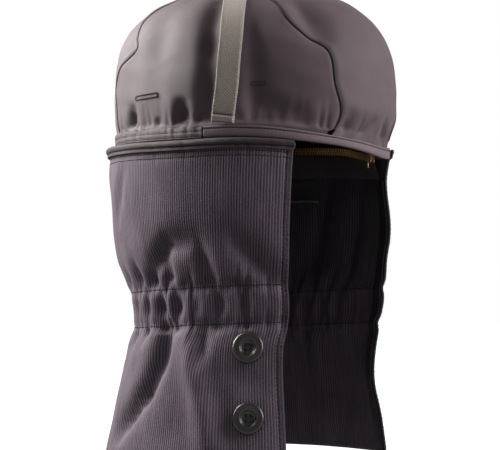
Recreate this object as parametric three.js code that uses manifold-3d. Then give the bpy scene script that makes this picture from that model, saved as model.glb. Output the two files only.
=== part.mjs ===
// A flame-resistant winter liner that goes under a hard hat: a three-panel twill cap with a webbing strap
// over its crown, and a ribbed neck curtain with a gathered waist that zips to the cap's rim.
// Millimetres, +Z up. The wearer faces -Y, and the wearer's right is -X.
// The origin is the inside of the crown's top, where the cap sits on the head.
// A bearing is an angle in degrees round the head: 0 at the forehead, 90 at the right ear, 180 at the nape.
import * as THREE from "three";
import Module from "manifold-3d";

const wasm = await Module();
wasm.setup();

// Cloth and clearances
const TWILL = 1.6; // wall of the cap
const RIBBED = 2.0; // wall of the curtain
const TAPE = 1.0; // zip tape, facings and label
const GAP = 0.3; // clearance between sewn pieces

// The cap: half-axes of its plan at the widest level, and how far the rim tucks in between two heights
const CROWN = {
  side: 84,
  front: 106.5,
  back: 99,
  widest: -72,
  top: TWILL,
  roundness: { side: 2.6, front: 2.5, back: 2.9 },
  tuck: { side: 3, front: 8, back: 2.3 },
  tuckFrom: { side: -72, front: -84, back: -72 },
  tuckTo: { side: -109.5, front: -114, back: -109.5 },
  tuckPower: 1.6,
};
const RIM = { height: -109.5, risePerDepth: 0.05, capOverlap: 4.4 };
// Where the rim rides up or dips, each over a width in degrees
const RIM_WAVES = [
  { bearing: 55, width: 26, rise: 2.2 },
  { bearing: -8, width: 20, rise: -4.2 },
  { bearing: -90, width: 30, rise: 3 },
];

// The seam between the side panel and the centre panel, from the forehead over the top to the nape
const SEAM_ROWS = [
  { bearing: 23, height: -112 },
  { bearing: 19.3, height: -95 },
  { bearing: 22, height: -75 },
  { bearing: 24.5, height: -54 },
  { bearing: 32, height: -44.5 },
  { bearing: 38.5, height: -34 },
  { bearing: 44, height: -18 },
  { bearing: 86, height: -6.5 },
  { bearing: 120, height: -13.5 },
  { bearing: 124.5, height: -23 },
  { bearing: 121, height: -36 },
  { bearing: 118, height: -43.5 },
  { bearing: 124.5, height: -49 },
  { bearing: 136, height: -55.5 },
  { bearing: 142, height: -66 },
  { bearing: 139, height: -77.5 },
  { bearing: 138, height: -106 },
];
const SEAM_CLEARANCE = 1.7; // from the seam's line to each panel's edge
const RIM_SEAM_CLEARANCE = 2; // along the rim, which the seam meets at a slant
const PIPING = { radius: 1.1, sunk: 0.3, sides: 6 };

// Valleys in the slack cap cloth, each along a line from one place to another, on both sides of the cap
const CAP_FOLDS = [
  { bearing: 86.5, height: -87, toBearing: 87, toHeight: -97, width: 4.4, depth: 5 },
  { bearing: 120, height: -86, toBearing: 122, toHeight: -97, width: 4, depth: 4.8 },
  { bearing: 50, height: -90, toBearing: 39, toHeight: -94, width: 9, depth: 5 },
  { bearing: 54, height: -41, toBearing: 52, toHeight: -98, width: 8, depth: 3.5 },
  { bearing: 71, height: -20, toBearing: 72, toHeight: -50, width: 8, depth: 5 },
  { bearing: 72, height: -50, toBearing: 74, toHeight: -99, width: 8, depth: 5 },
  { bearing: 31, height: -16, toBearing: 27.5, toHeight: -41, width: 9, depth: 6 },
  { bearing: 15.5, height: -96, toBearing: 17, toHeight: -110, width: 4.5, depth: 3 },
  { bearing: 4, height: -97, toBearing: 11.5, toHeight: -111, width: 3.5, depth: 3.4 },
  { bearing: 104, height: -34, toBearing: 97, toHeight: -56, width: 12, depth: 2.5 },
  { bearing: 101.5, height: -96, toBearing: 101.5, toHeight: -102, width: 2.6, depth: 2.6 },
  { bearing: 160, height: -86, toBearing: 158, toHeight: -105, width: 5, depth: 3 },
];

const FOLD_FADE = 5; // the height above the band over which the valleys grow to their full depth
const FOLD_ENDS = 0.2; // a valley's depth follows a half wave along its line, less this share at each end

// Strips round the rim: heights are measured up from the band's lower edge, and turns are in degrees
const BAND = {
  height: 7.5,
  thickness: 2,
  edgeShare: 0.2,
  edgeRound: 0.5,
  endBearing: 75.5,
  endTurn: 0.5,
  narrowing: 0.22,
  narrowBearing: 20,
  narrowWidth: 22,
  backThickness: 1.2,
  backHeight: 8,
  standOff: 0.5,
};
const ZIP = {
  chainTop: 4,
  chainBottom: -1.5,
  chainOut: -2.2,
  chainThickness: 3.2,
  lift: 4,
  liftTurn: 26,
  endTurn: 1,
  upperTapeTop: 5.3,
  lowerTapeBottom: -14,
  sliderWidth: 6.5,
  sliderHeight: 8,
  sliderThickness: 3.4,
  sliderOut: -3,
  sliderRound: 1.2,
  sliderTurn: 0.3,
};
const STRAP = { width: 15.4, thickness: 1.5, lift: 0.5, steps: 40, endRun: 160 };
// How far forward the strap lies, at a run along it from the crown's middle
const STRAP_ROWS = [
  { run: 0, forward: 20.4 },
  { run: 40, forward: 24.9 },
  { run: 71, forward: 33 },
  { run: 90, forward: 38.6 },
  { run: 106, forward: 41.4 },
  { run: 132, forward: 41.2 },
  { run: 161, forward: 36.9 },
];

// The curtain: half-axes of its plan at each level, how far round from the forehead its front edges stand,
// and how far the left one flares out
const CURTAIN_ROWS = [
  { height: -112, side: 84.2, front: 104, back: 103, edge: 37.4, flare: 3.8 },
  { height: -131, side: 84, front: 103, back: 103.7, edge: 38.2, flare: 2 },
  { height: -161, side: 82, front: 103, back: 102.4, edge: 38.7, flare: 6.4 },
  { height: -186, side: 79, front: 103, back: 96.2, edge: 38.8, flare: 5 },
  { height: -205, side: 75.5, front: 103, back: 87.5, edge: 38.6, flare: 6 },
  { height: -217, side: 74.5, front: 102.5, back: 83.6, edge: 38.2, flare: 5 },
  { height: -229, side: 74, front: 102, back: 83.5, edge: 38.3, flare: 3.6 },
  { height: -242, side: 76, front: 101, back: 87.5, edge: 40.6, flare: 2 },
  { height: -266, side: 79.5, front: 100.5, back: 92.5, edge: 41, flare: -2 },
  { height: -291, side: 82.5, front: 101, back: 99.2, edge: 40.6, flare: 0.8 },
  { height: -317, side: 86, front: 103, back: 105, edge: 40.5, flare: 0.8 },
];
const HEM = -317;
const CURTAIN_TOP = -1.4; // up from the band's lower edge
// The left front corner stands up outside the band, and the top edge climbs to it along a shoulder
const CORNER = { rise: 4, width: 5, shoulderRise: 3.6, shoulderWidth: 19 };
const WAIST = { upperRow: -205, lowerRow: -229, pinch: 1.3, stitchWidth: 3.5, tilt: 2.4 };
const FLARE = { bearing: -38, width: 14 };
const PLEAT_ON_ROW = 0.25; // share of a pleat's depth that is left on a stitch row
const PLEAT_PEAK = 0.35; // how far beyond a stitch row it opens again, as a share of its run
const PLEAT_FULL_RUN = 20; // a pleat that runs on for less opens less
const PLEAT_JOG = { turn: 4.5, reach: 5 }; // above the upper row the pleats lie nearer to the nape

// Pleats that the waist's elastic draws up, as valleys: how deep, how wide, and how far they run up and down
const PLEATS = [
  { bearing: 57, width: 2.8, depth: 5, up: 6, down: 5 },
  { bearing: 69.5, width: 3.6, depth: 4, up: 10, down: 8 },
  { bearing: 82, width: 2.6, depth: 1.4, up: 12, down: 16 },
  { bearing: 94.5, width: 4, depth: 6, up: 24, down: 8 },
  { bearing: 106.8, width: 4, depth: 6.2, up: 16, down: 6 },
  { bearing: 119.5, width: 3.4, depth: 4.6, up: 24, down: 12 },
  { bearing: 133, width: 3.6, depth: 3.8, up: 20, down: 18 },
  { bearing: 149, width: 3.8, depth: 4, up: 25, down: 24 },
  { bearing: 161, width: 3.6, depth: 3.4, up: 18, down: 20 },
  { bearing: 174, width: 4, depth: 4.2, up: 24, down: 28 },
  { bearing: 187, width: 3.6, depth: 3.6, up: 20, down: 18 },
  { bearing: 199, width: 3.8, depth: 4.2, up: 26, down: 24 },
  { bearing: 212, width: 3.6, depth: 3.6, up: 20, down: 20 },
  { bearing: 224, width: 3.8, depth: 4.2, up: 24, down: 26 },
  { bearing: 238, width: 3.6, depth: 3.8, up: 20, down: 18 },
  { bearing: 251, width: 3.8, depth: 4, up: 22, down: 24 },
  { bearing: 265, width: 3.4, depth: 4.2, up: 24, down: 16 },
  { bearing: 277, width: 3.2, depth: 4, up: 22, down: 28 },
  { bearing: 288, width: 3, depth: 3.4, up: 18, down: 14 },
  { bearing: 298, width: 3, depth: 2.4, up: 14, down: 12 },
];

// Long soft folds above and below the waist, each along a line; depth is inward
const CURTAIN_FOLDS = [
  { bearing: 103, height: -232, toBearing: 103.5, toHeight: -254, width: 7.5, depth: 8 },
  { bearing: 105.5, height: -256, toBearing: 113, toHeight: -276, width: 7.5, depth: 8 },
  { bearing: 115, height: -278, toBearing: 131, toHeight: -302, width: 7, depth: 8 },
  { bearing: 88, height: -240, toBearing: 81.5, toHeight: -260, width: 8, depth: -5 },
  { bearing: 81.5, height: -260, toBearing: 74, toHeight: -308, width: 9, depth: -6 },
  { bearing: 77.5, height: -234, toBearing: 78.5, toHeight: -252, width: 5, depth: 4.5 },
  { bearing: 62, height: -262, toBearing: 50, toHeight: -268, width: 6, depth: 3 },
  { bearing: 107.5, height: -190, toBearing: 98, toHeight: -178, width: 6, depth: 6.5 },
  { bearing: 96, height: -175.5, toBearing: 82, toHeight: -174.5, width: 6, depth: 4.6 },
  { bearing: 78.5, height: -179, toBearing: 74.5, toHeight: -197, width: 5, depth: 5 },
  { bearing: 62, height: -174, toBearing: 46, toHeight: -197, width: 7, depth: 6 },
  { bearing: 126, height: -126, toBearing: 136, toHeight: -158, width: 6, depth: 2 },
  { bearing: 278, height: -132, toBearing: 270, toHeight: -192, width: 8, depth: -5 },
  { bearing: 300, height: -134, toBearing: 296, toHeight: -196, width: 8, depth: -5 },
  { bearing: 248, height: -236, toBearing: 236, toHeight: -302, width: 8, depth: 8 },
  { bearing: 165, height: -238, toBearing: 160, toHeight: -312, width: 9, depth: 6 },
  { bearing: 200, height: -238, toBearing: 208, toHeight: -308, width: 9, depth: 7 },
  { bearing: 275, height: -240, toBearing: 283, toHeight: -306, width: 8, depth: 5 },
  { bearing: 150, height: -146, toBearing: 160, toHeight: -192, width: 8, depth: 3 },
  { bearing: 214, height: -144, toBearing: 204, toHeight: -194, width: 8, depth: 3.5 },
];

const BINDING = { top: -0.9, bottom: -7.2, frontThickness: 1.6, backThickness: 2.8, roll: 1.4 };
const LABEL = { bearing: 259, width: 44, height: 15.5, drop: 2.6 };
const BUTTON = {
  bearing: 55,
  upper: -243.4,
  lower: -287.3,
  diameter: 20.2,
  wellDiameter: 9.8,
  holeDiameter: 1.8,
  holeSpacing: 1.7,
  lift: 0.5,
};
// The button's section from its back over the rim: how far in from the rim, and how far up from the back
const BUTTON_RIM = [
  { inset: 2, up: 0 },
  { inset: 0.4, up: 1 },
  { inset: 0, up: 2 },
  { inset: 0.5, up: 3.1 },
  { inset: 1.4, up: 3.6 },
];
// And on into its well: how far in from the well's edge
const BUTTON_WELL = [
  { inset: -0.5, up: 3.1 },
  { inset: 0.7, up: 1.8 },
  { inset: BUTTON.wellDiameter / 2, up: 1.6 },
];

// Mesh fineness
const CURTAIN_COLUMNS = 80;
const CURTAIN_LEVELS = [17, 36, 55, 72, 85, 93, 99, 105, 111, 117, 126, 140, 158, 180]; // below its first row
const FACING_COLUMNS = [0.04, 1, 1.5]; // counted in from the curtain's front edge
const BINDING_SHARES = [0, 0.3, 0.7, 1]; // up its height
const ROUND_STEPS = 40; // a strip that goes nearly all round
const BAND_STEPS = 24;
const SLIDER_STEPS = 4;
const LABEL_STEPS = { across: 6, down: 2 };
const SEAM_STATIONS = 30;
const SIDE_ROWS = 6;
const CENTRE_ROWS = 8;
const BUTTON_SIDES = 18;
const HOLE_SIDES = 7;
const HALVINGS = 36; // in a search along a line
const MERGE_STEP = 1e-4; // corners nearer than this are one

const radians = THREE.MathUtils.degToRad;
const lerp = THREE.MathUtils.lerp;
const smooth = (t) => THREE.MathUtils.smoothstep(t, 0, 1);
const bell = (distance, width) => Math.exp(-((distance / width) ** 2));

// Plan and height

const bearingOf = (p) => THREE.MathUtils.radToDeg(Math.atan2(-p.x, -p.y));
const place = (bearing, radius, height) =>
  new THREE.Vector3(-radius * Math.sin(radians(bearing)), -radius * Math.cos(radians(bearing)), height);
const turnBetween = (a, b) => THREE.MathUtils.euclideanModulo(a - b + 180, 360) - 180;

// The radius at a bearing of a plan that is half an ellipse in front and half an ellipse behind
function planRadius(axes, bearing) {
  const s = Math.sin(radians(bearing));
  const c = Math.cos(radians(bearing));
  return 1 / Math.hypot(s / axes.side, c / (c > 0 ? axes.front : axes.back));
}

// A named column of a table at a value of its key column, on a smooth curve through the rows
function tableAt(rows, key, value, column) {
  const last = rows.length - 1;
  const shareDown = (k) => THREE.MathUtils.inverseLerp(rows[k][key], rows[k + 1][key], value);
  let i = 0;
  while (i < last - 1 && shareDown(i) > 1) i += 1;
  const t = THREE.MathUtils.clamp(shareDown(i), 0, 1);
  const at = (k) => rows[THREE.MathUtils.clamp(k, 0, last)][column];
  const slope = (k) => (at(k + 1) - at(k - 1)) / 2;
  const gain = at(i + 1) - at(i);
  const bend = 3 * gain - 2 * slope(i) - slope(i + 1);
  const twist = slope(i) + slope(i + 1) - 2 * gain;
  return at(i) + t * (slope(i) + t * (bend + t * twist));
}

// How far a list of valleys pushes a place inward
function foldDepth(folds, p) {
  let depth = 0;
  const line = new THREE.Line3();
  const near = new THREE.Vector3();
  for (const fold of folds) {
    line.set(fold.start, fold.end);
    const along = line.closestPointToPointParameter(p, true);
    line.at(along, near);
    const swell = Math.sin(Math.PI * lerp(FOLD_ENDS, 1 - FOLD_ENDS, along));
    depth += fold.depth * swell * bell(near.distanceTo(p), fold.width);
  }
  return depth;
}

// The cap's surface

function crownAxes(height) {
  const rise = THREE.MathUtils.clamp((height - CROWN.widest) / (CROWN.top - CROWN.widest), 0, 1);
  const tuckShare = (name) => {
    const start = CROWN.tuckFrom[name];
    return smooth((start - height) / (start - CROWN.tuckTo[name])) ** CROWN.tuckPower;
  };
  const half = (name) => {
    const round = CROWN.roundness[name];
    return CROWN[name] * (1 - rise ** round) ** (1 / round) - CROWN.tuck[name] * tuckShare(name);
  };
  return { side: half("side"), front: half("front"), back: half("back") };
}

const crownRadius = (bearing, height) => planRadius(crownAxes(height), bearing);
const onCrown = (bearing, height) => place(bearing, crownRadius(bearing, height), height);
const rimRadius = (bearing) => crownRadius(bearing, RIM.height);
const rimForward = (bearing) => rimRadius(bearing) * Math.cos(radians(bearing));

function rimHeight(bearing) {
  const tilted = RIM.height - RIM.risePerDepth * rimForward(bearing);
  const waves = RIM_WAVES.map((wave) => wave.rise * bell(turnBetween(bearing, wave.bearing), wave.width));
  return waves.reduce((sum, rise) => sum + rise, tilted);
}

// The cap's centre line point that a guide point is seen from: level with it below the widest level
const crownHeart = (guide) => new THREE.Vector3(0, 0, Math.min(guide.z, CROWN.widest));

// The cap's smooth surface straight out through a guide point
function throughCrown(guide) {
  const heart = crownHeart(guide);
  const out = guide.clone().sub(heart).normalize();
  let inside = 0;
  let outside = 2 * CROWN.front;
  for (let step = 0; step < HALVINGS; step += 1) {
    const middle = (inside + outside) / 2;
    const p = heart.clone().addScaledVector(out, middle);
    const held = p.z < CROWN.top && Math.hypot(p.x, p.y) < crownRadius(bearingOf(p), p.z);
    if (held) inside = middle;
    else outside = middle;
  }
  return { point: heart.clone().addScaledVector(out, inside), out };
}

const capFolds = [1, -1].flatMap((hand) =>
  CAP_FOLDS.map((fold) => ({
    ...fold,
    start: onCrown(hand * fold.bearing, fold.height),
    end: onCrown(hand * fold.toBearing, fold.toHeight),
  })),
);

// The cap's cloth at a guide point: its outer face, or a face further in
function capCloth(guide, inward) {
  const { point, out } = throughCrown(guide);
  const aboveBand = point.z - rimHeight(bearingOf(point)) - BAND.backHeight;
  const slack = smooth(aboveBand / FOLD_FADE);
  return point.clone().addScaledVector(out, -slack * foldDepth(capFolds, point) - inward);
}

// The right seam as a row of places: its two ends at the rim, and evenly spaced ones from just above the band
// at the forehead to just above the band at the nape. The panels beside it and its piping all follow them.
const seamCurve = new THREE.CatmullRomCurve3(SEAM_ROWS.map((row) => onCrown(row.bearing, row.height)));

function seamShareAboveBand(atRim, atTop) {
  let [below, above] = [atRim, atTop];
  for (let step = 0; step < HALVINGS; step += 1) {
    const middle = (below + above) / 2;
    const p = seamCurve.getPointAt(middle);
    if (p.z < rimHeight(bearingOf(p)) + BAND.backHeight + GAP + PIPING.radius) below = middle;
    else above = middle;
  }
  return above;
}

function seamPlaceList() {
  const [front, back] = [seamShareAboveBand(0, 0.5), seamShareAboveBand(1, 0.5)];
  const places = [seamCurve.getPointAt(0)];
  for (let i = 0; i <= SEAM_STATIONS; i += 1) {
    places.push(seamCurve.getPointAt(lerp(front, back, i / SEAM_STATIONS)));
  }
  places.push(seamCurve.getPointAt(1));
  return places;
}

const seamPlaces = seamPlaceList();
const seamEnd = seamPlaces.length - 1;
const mirrored = (p) => new THREE.Vector3(-p.x, p.y, p.z);

// The direction of a row of places at one of them
function alongAt(places, i) {
  const ahead = places[Math.min(i + 1, places.length - 1)];
  const behind = places[Math.max(i - 1, 0)];
  return ahead.clone().sub(behind).normalize();
}

// Solids

// Turns a vertex list and triangles into a geometry whose faces point out
function solidGeometry(points, triangles) {
  let volume = 0;
  for (const [a, b, c] of triangles) volume += points[a].dot(points[b].clone().cross(points[c]));
  const faces = volume < 0 ? triangles.map(([a, b, c]) => [a, c, b]) : triangles;
  const geometry = new THREE.BufferGeometry().setFromPoints(points);
  geometry.setIndex(faces.flat());
  return geometry;
}

// A closed wall between two grids of points, outer and inner, each asked for by column and row
function wall(columns, rows, outer, inner) {
  const points = [];
  const index = (face, c, r) => (face * (columns + 1) + c) * (rows + 1) + r;
  for (const face of [outer, inner]) {
    for (let c = 0; c <= columns; c += 1) for (let r = 0; r <= rows; r += 1) points.push(face(c, r));
  }
  const triangles = [];
  const quad = (a, b, c, d) => triangles.push([a, b, c], [a, c, d]);
  for (let c = 0; c < columns; c += 1) {
    for (let r = 0; r < rows; r += 1) {
      quad(index(0, c, r), index(0, c + 1, r), index(0, c + 1, r + 1), index(0, c, r + 1));
      quad(index(1, c, r), index(1, c, r + 1), index(1, c + 1, r + 1), index(1, c + 1, r));
    }
    quad(index(0, c, 0), index(1, c, 0), index(1, c + 1, 0), index(0, c + 1, 0));
    quad(index(0, c, rows), index(0, c + 1, rows), index(1, c + 1, rows), index(1, c, rows));
  }
  for (let r = 0; r < rows; r += 1) {
    quad(index(0, 0, r), index(0, 0, r + 1), index(1, 0, r + 1), index(1, 0, r));
    quad(index(0, columns, r), index(1, columns, r), index(1, columns, r + 1), index(0, columns, r + 1));
  }
  return solidGeometry(points, triangles);
}

// A strip round the rim between two bearings, made of levels down its height
const plainRise = (level) => level.up;
function rimStrip({ from, to, levels, outer, thickness, rise = plainRise, steps = ROUND_STEPS }) {
  const face = (inward) => (c, r) => {
    const bearing = lerp(from, to, c / steps);
    const { bulge = 0 } = levels[r];
    const height = rimHeight(bearing) + rise(levels[r], bearing);
    return place(bearing, outer(bearing, height) + (inward ? -thickness : bulge), height);
  };
  return wall(steps, levels.length - 1, face(false), face(true));
}

// The cap's panels

// A place on the cloth beside the seam, a clearance away from it on the side that another place lies on
function beside(i, toward) {
  const seamPoint = seamPlaces[i];
  const out = seamPoint.clone().sub(crownHeart(seamPoint)).normalize();
  const across = alongAt(seamPlaces, i).cross(out).normalize();
  const side = Math.sign(across.dot(toward.clone().sub(seamPoint)));
  return seamPoint.clone().addScaledVector(across, side * SEAM_CLEARANCE);
}

function panelWall(columns, rows, guideAt) {
  const face = (inward) => (c, r) => capCloth(guideAt(c, r), inward);
  return wall(columns, rows, face(0), face(TWILL));
}

// A side panel hangs from the seam's arch to the band's top, and on behind the band to the rim
function sidePanel(hand) {
  const columns = seamEnd - 2;
  const clearTurn = THREE.MathUtils.radToDeg(RIM_SEAM_CLEARANCE / CROWN.side);
  const front = SEAM_ROWS[0].bearing + clearTurn;
  const back = SEAM_ROWS[SEAM_ROWS.length - 1].bearing - clearTurn;
  return panelWall(columns, SIDE_ROWS + 1, (c, r) => {
    const bearing = lerp(front, back, c / columns);
    const rimLevel = rimHeight(hand * bearing);
    const bandTop = onCrown(bearing, rimLevel + BAND.backHeight);
    const rim = onCrown(bearing, rimLevel + RIM.capOverlap);
    const guide = r > SIDE_ROWS ? rim : beside(c + 1, rim).lerp(bandTop, r / SIDE_ROWS);
    return hand > 0 ? guide : mirrored(guide);
  });
}

// The centre panel runs between the two seams from the forehead over the top to the nape
function centrePanel() {
  return panelWall(seamEnd, CENTRE_ROWS, (c, r) => {
    const right = beside(c, mirrored(seamPlaces[c]));
    const guide = right.clone().lerp(mirrored(right), r / CENTRE_ROWS);
    guide.z = Math.max(guide.z, rimHeight(bearingOf(guide)) + RIM.capOverlap);
    return guide;
  });
}

// A tube along places on the cap, its section turned to each place's outward direction
function capTube(centres, radius, sides) {
  const points = [];
  const triangles = [];
  centres.forEach((centre, i) => {
    const along = alongAt(centres, i);
    const across = along.clone().cross(centre.clone().sub(crownHeart(centre))).normalize();
    const out = across.clone().cross(along);
    for (let k = 0; k < sides; k += 1) {
      const angle = (2 * Math.PI * k) / sides;
      const corner = centre.clone().addScaledVector(across, radius * Math.cos(angle));
      points.push(corner.addScaledVector(out, radius * Math.sin(angle)));
    }
  });
  const last = (centres.length - 1) * sides;
  for (let start = 0; start < last; start += sides) {
    for (let k = 0; k < sides; k += 1) {
      const [a, b] = [start + k, start + ((k + 1) % sides)];
      triangles.push([a, b, b + sides], [a, b + sides, a + sides]);
    }
  }
  for (let k = 1; k < sides - 1; k += 1) triangles.push([0, k + 1, k], [last, last + k, last + k + 1]);
  return solidGeometry(points, triangles);
}

// The piping starts and ends just above the band
function seamPiping(hand) {
  const centres = seamPlaces.slice(1, seamEnd).map((place) => (hand > 0 ? place : mirrored(place)));
  return capTube(
    centres.map((guide) => capCloth(guide, PIPING.sunk)),
    PIPING.radius,
    PIPING.sides,
  );
}

// The strap crosses the crown from temple to temple, flat on the cloth
function crownStrap() {
  const quarter = (CROWN.side * Math.PI) / 2;
  const strapCentre = (share) => {
    const run = lerp(-STRAP.endRun, STRAP.endRun, share);
    const turn = THREE.MathUtils.clamp(run / CROWN.side, -Math.PI / 2, Math.PI / 2);
    const height = CROWN.widest + CROWN.side * Math.cos(turn) - Math.max(0, Math.abs(run) - quarter);
    const forward = tableAt(STRAP_ROWS, "run", Math.abs(run), "forward");
    return throughCrown(new THREE.Vector3(CROWN.side * Math.sin(turn), -forward, height)).point;
  };
  const overPiping = (p) => {
    const onRight = p.x < 0 ? p : mirrored(p);
    const toSeam = Math.min(...seamPlaces.map((seam) => seam.distanceTo(onRight)));
    return bell(toSeam, 2 * PIPING.radius + STRAP.width / 2);
  };
  const nudge = 0.01; // of the strap's length
  const forward = new THREE.Vector3(0, -2, 0);
  const face = (inward) => (c, r) => {
    const share = c / STRAP.steps;
    const point = strapCentre(share);
    const lift = STRAP.lift + PIPING.radius * overPiping(point);
    const ahead = strapCentre(Math.min(1, share + nudge));
    const behind = strapCentre(Math.max(0, share - nudge));
    const along = ahead.sub(behind).normalize();
    const fore = throughCrown(point.clone().add(forward)).point.sub(point);
    const across = fore.addScaledVector(along, -fore.dot(along)).normalize();
    const normal = along.clone().cross(across);
    if (normal.dot(point.clone().sub(crownHeart(point))) < 0) normal.negate();
    return point
      .addScaledVector(normal, lift + (inward ? 0 : STRAP.thickness))
      .addScaledVector(across, (r - 0.5) * STRAP.width);
  };
  return wall(STRAP.steps, 1, face(false), face(true));
}

// The rim's band, in front a raised strip with square ends and behind a flat hem
function frontBand() {
  const { height, thickness, endBearing, edgeShare, edgeRound } = BAND;
  const levels = [
    { up: 0, bulge: -edgeRound },
    { up: edgeShare * height },
    { up: (1 - edgeShare) * height },
    { up: height, bulge: -edgeRound },
  ];
  const outer = (bearing, z) => crownRadius(bearing, z) + BAND.standOff + thickness;
  const narrowed = (bearing) => BAND.narrowing * bell(bearing - BAND.narrowBearing, BAND.narrowWidth);
  const rise = ({ up }, bearing) => up * (1 - narrowed(bearing));
  return rimStrip({ from: endBearing, to: -endBearing, levels, outer, thickness, rise, steps: BAND_STEPS });
}

function backHem() {
  const levels = [{ up: 0 }, { up: BAND.backHeight }];
  const outer = (bearing, z) => crownRadius(bearing, z) + BAND.standOff + BAND.backThickness;
  const from = BAND.endBearing + BAND.endTurn;
  return rimStrip({ from, to: 360 - from, levels, outer, thickness: BAND.backThickness });
}

// The zip: two tapes, the chain of teeth between them, and the slider at its left end

const frontEdge = (height) => tableAt(CURTAIN_ROWS, "height", height, "edge");
const topEdge = frontEdge(CURTAIN_ROWS[0].height);
const sliderSpan = THREE.MathUtils.radToDeg(ZIP.sliderWidth / rimRadius(topEdge));
const zipSpan = { from: topEdge + ZIP.endTurn, to: 360 - topEdge - sliderSpan - ZIP.endTurn };

// From its two ends the zip climbs inside the cap
function zipRise({ up, lifted = true }, bearing) {
  const fromEnd = Math.min(bearing - zipSpan.from, zipSpan.to - bearing);
  return lifted ? up + ZIP.lift * smooth(fromEnd / ZIP.liftTurn) : up;
}

function zipUpperTape() {
  const levels = [{ up: ZIP.chainTop + GAP }, { up: ZIP.upperTapeTop }];
  const outer = (bearing, z) => crownRadius(bearing, z) - TWILL - 5 * GAP;
  return rimStrip({ ...zipSpan, levels, outer, thickness: TAPE, rise: zipRise });
}

function zipChain() {
  const levels = [{ up: ZIP.chainBottom }, { up: ZIP.chainTop }];
  const outer = (bearing) => rimRadius(bearing) + ZIP.chainOut;
  return rimStrip({ ...zipSpan, levels, outer, thickness: ZIP.chainThickness, rise: zipRise });
}

// The lower tape hangs from the chain, and below the rim it leans out to the curtain's inner face
function zipLowerTape() {
  const levels = [
    { up: ZIP.lowerTapeBottom, lifted: false },
    { up: ZIP.chainBottom - 3 * GAP, lifted: false },
    { up: ZIP.chainBottom - GAP },
  ];
  const outer = (bearing, z) => {
    const share = Math.max(0, (z - rimHeight(bearing)) / ZIP.lowerTapeBottom);
    const sewn = curtainTopRadius(bearing, z) - RIBBED - 2 * GAP;
    return lerp(rimRadius(bearing) + ZIP.chainOut, sewn, share);
  };
  return rimStrip({ ...zipSpan, levels, outer, thickness: TAPE, rise: zipRise });
}

function zipSlider() {
  const middle = (ZIP.chainTop + ZIP.chainBottom) / 2;
  const levels = [
    { up: middle - ZIP.sliderHeight / 2, bulge: -ZIP.sliderRound },
    { up: middle - ZIP.sliderHeight / 4 },
    { up: middle + ZIP.sliderHeight / 4 },
    { up: middle + ZIP.sliderHeight / 2, bulge: -ZIP.sliderRound },
  ];
  const outer = (bearing) => rimRadius(bearing) + ZIP.sliderOut;
  const from = zipSpan.to + ZIP.sliderTurn;
  const to = 360 - topEdge - ZIP.sliderTurn;
  return rimStrip({ from, to, levels, outer, thickness: ZIP.sliderThickness, steps: SLIDER_STEPS });
}

// The curtain's surface

const curtainAxes = (height) => ({
  side: tableAt(CURTAIN_ROWS, "height", height, "side"),
  front: tableAt(CURTAIN_ROWS, "height", height, "front"),
  back: tableAt(CURTAIN_ROWS, "height", height, "back"),
});

const smoothCurtain = (bearing, height) => planRadius(curtainAxes(height), bearing);

const curtainFolds = CURTAIN_FOLDS.map((fold) => ({
  ...fold,
  start: place(fold.bearing, smoothCurtain(fold.bearing, fold.height), fold.height),
  end: place(fold.toBearing, smoothCurtain(fold.toBearing, fold.toHeight), fold.toHeight),
}));

// How much of a pleat's depth shows at a height: full between the stitch rows, less on them, fading beyond
function pleatShare(pleat, height) {
  const middle = (WAIST.upperRow + WAIST.lowerRow) / 2;
  const halfWaist = (WAIST.upperRow - WAIST.lowerRow) / 2;
  const away = Math.abs(height - middle);
  if (away <= halfWaist) return lerp(PLEAT_ON_ROW, 1, smooth(1 - away / halfWaist));
  const reach = height > middle ? pleat.up : pleat.down;
  const beyond = (away - halfWaist) / reach;
  const opening = lerp(PLEAT_ON_ROW, 1, smooth(beyond / PLEAT_PEAK) * smooth(reach / PLEAT_FULL_RUN));
  return opening * (1 - smooth((beyond - PLEAT_PEAK) / (1 - PLEAT_PEAK)));
}

function pleatDepth(bearing, height) {
  let depth = 0;
  const jog = PLEAT_JOG.turn * smooth((height - WAIST.upperRow) / PLEAT_JOG.reach + 0.5);
  for (const pleat of PLEATS) {
    const across = bell(turnBetween(bearing, pleat.bearing + jog), pleat.width);
    depth += pleat.depth * pleatShare(pleat, height) * across;
  }
  return depth;
}

// The curtain's outer radius, with its waist, which is higher in front, its pleats, folds and the left front
// edge's flare
function curtainRadius(bearing, height) {
  const smoothRadius = smoothCurtain(bearing, height);
  const flare = tableAt(CURTAIN_ROWS, "height", height, "flare");
  const flared = flare * bell(turnBetween(bearing, FLARE.bearing), FLARE.width);
  const folded = foldDepth(curtainFolds, place(bearing, smoothRadius, height));
  const waistHeight = height - WAIST.tilt * Math.cos(radians(bearing));
  const onRow = (row) => bell(waistHeight - row, WAIST.stitchWidth);
  const pinched = WAIST.pinch * (onRow(WAIST.upperRow) + onRow(WAIST.lowerRow));
  return smoothRadius + flared - folded - pinched - pleatDepth(bearing, waistHeight);
}

// The level that the curtain hangs from: the rim's, but higher at the left front corner
function hangLevel(bearing) {
  const fromCorner = turnBetween(bearing, -topEdge);
  const shoulder = CORNER.shoulderRise * bell(fromCorner, CORNER.shoulderWidth);
  return rimHeight(bearing) + CORNER.rise * bell(fromCorner, CORNER.width) + shoulder;
}
const curtainTop = (bearing) => hangLevel(bearing) + CURTAIN_TOP;

// A height down the curtain, from its top edge at a bearing to the hem
function curtainHeight(bearing, level) {
  const top = curtainTop(bearing);
  if (level === 0) return top;
  if (level > CURTAIN_LEVELS.length) return HEM;
  return lerp(CURTAIN_ROWS[0].height, HEM, CURTAIN_LEVELS[level - 1] / (CURTAIN_ROWS[0].height - HEM));
}

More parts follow.
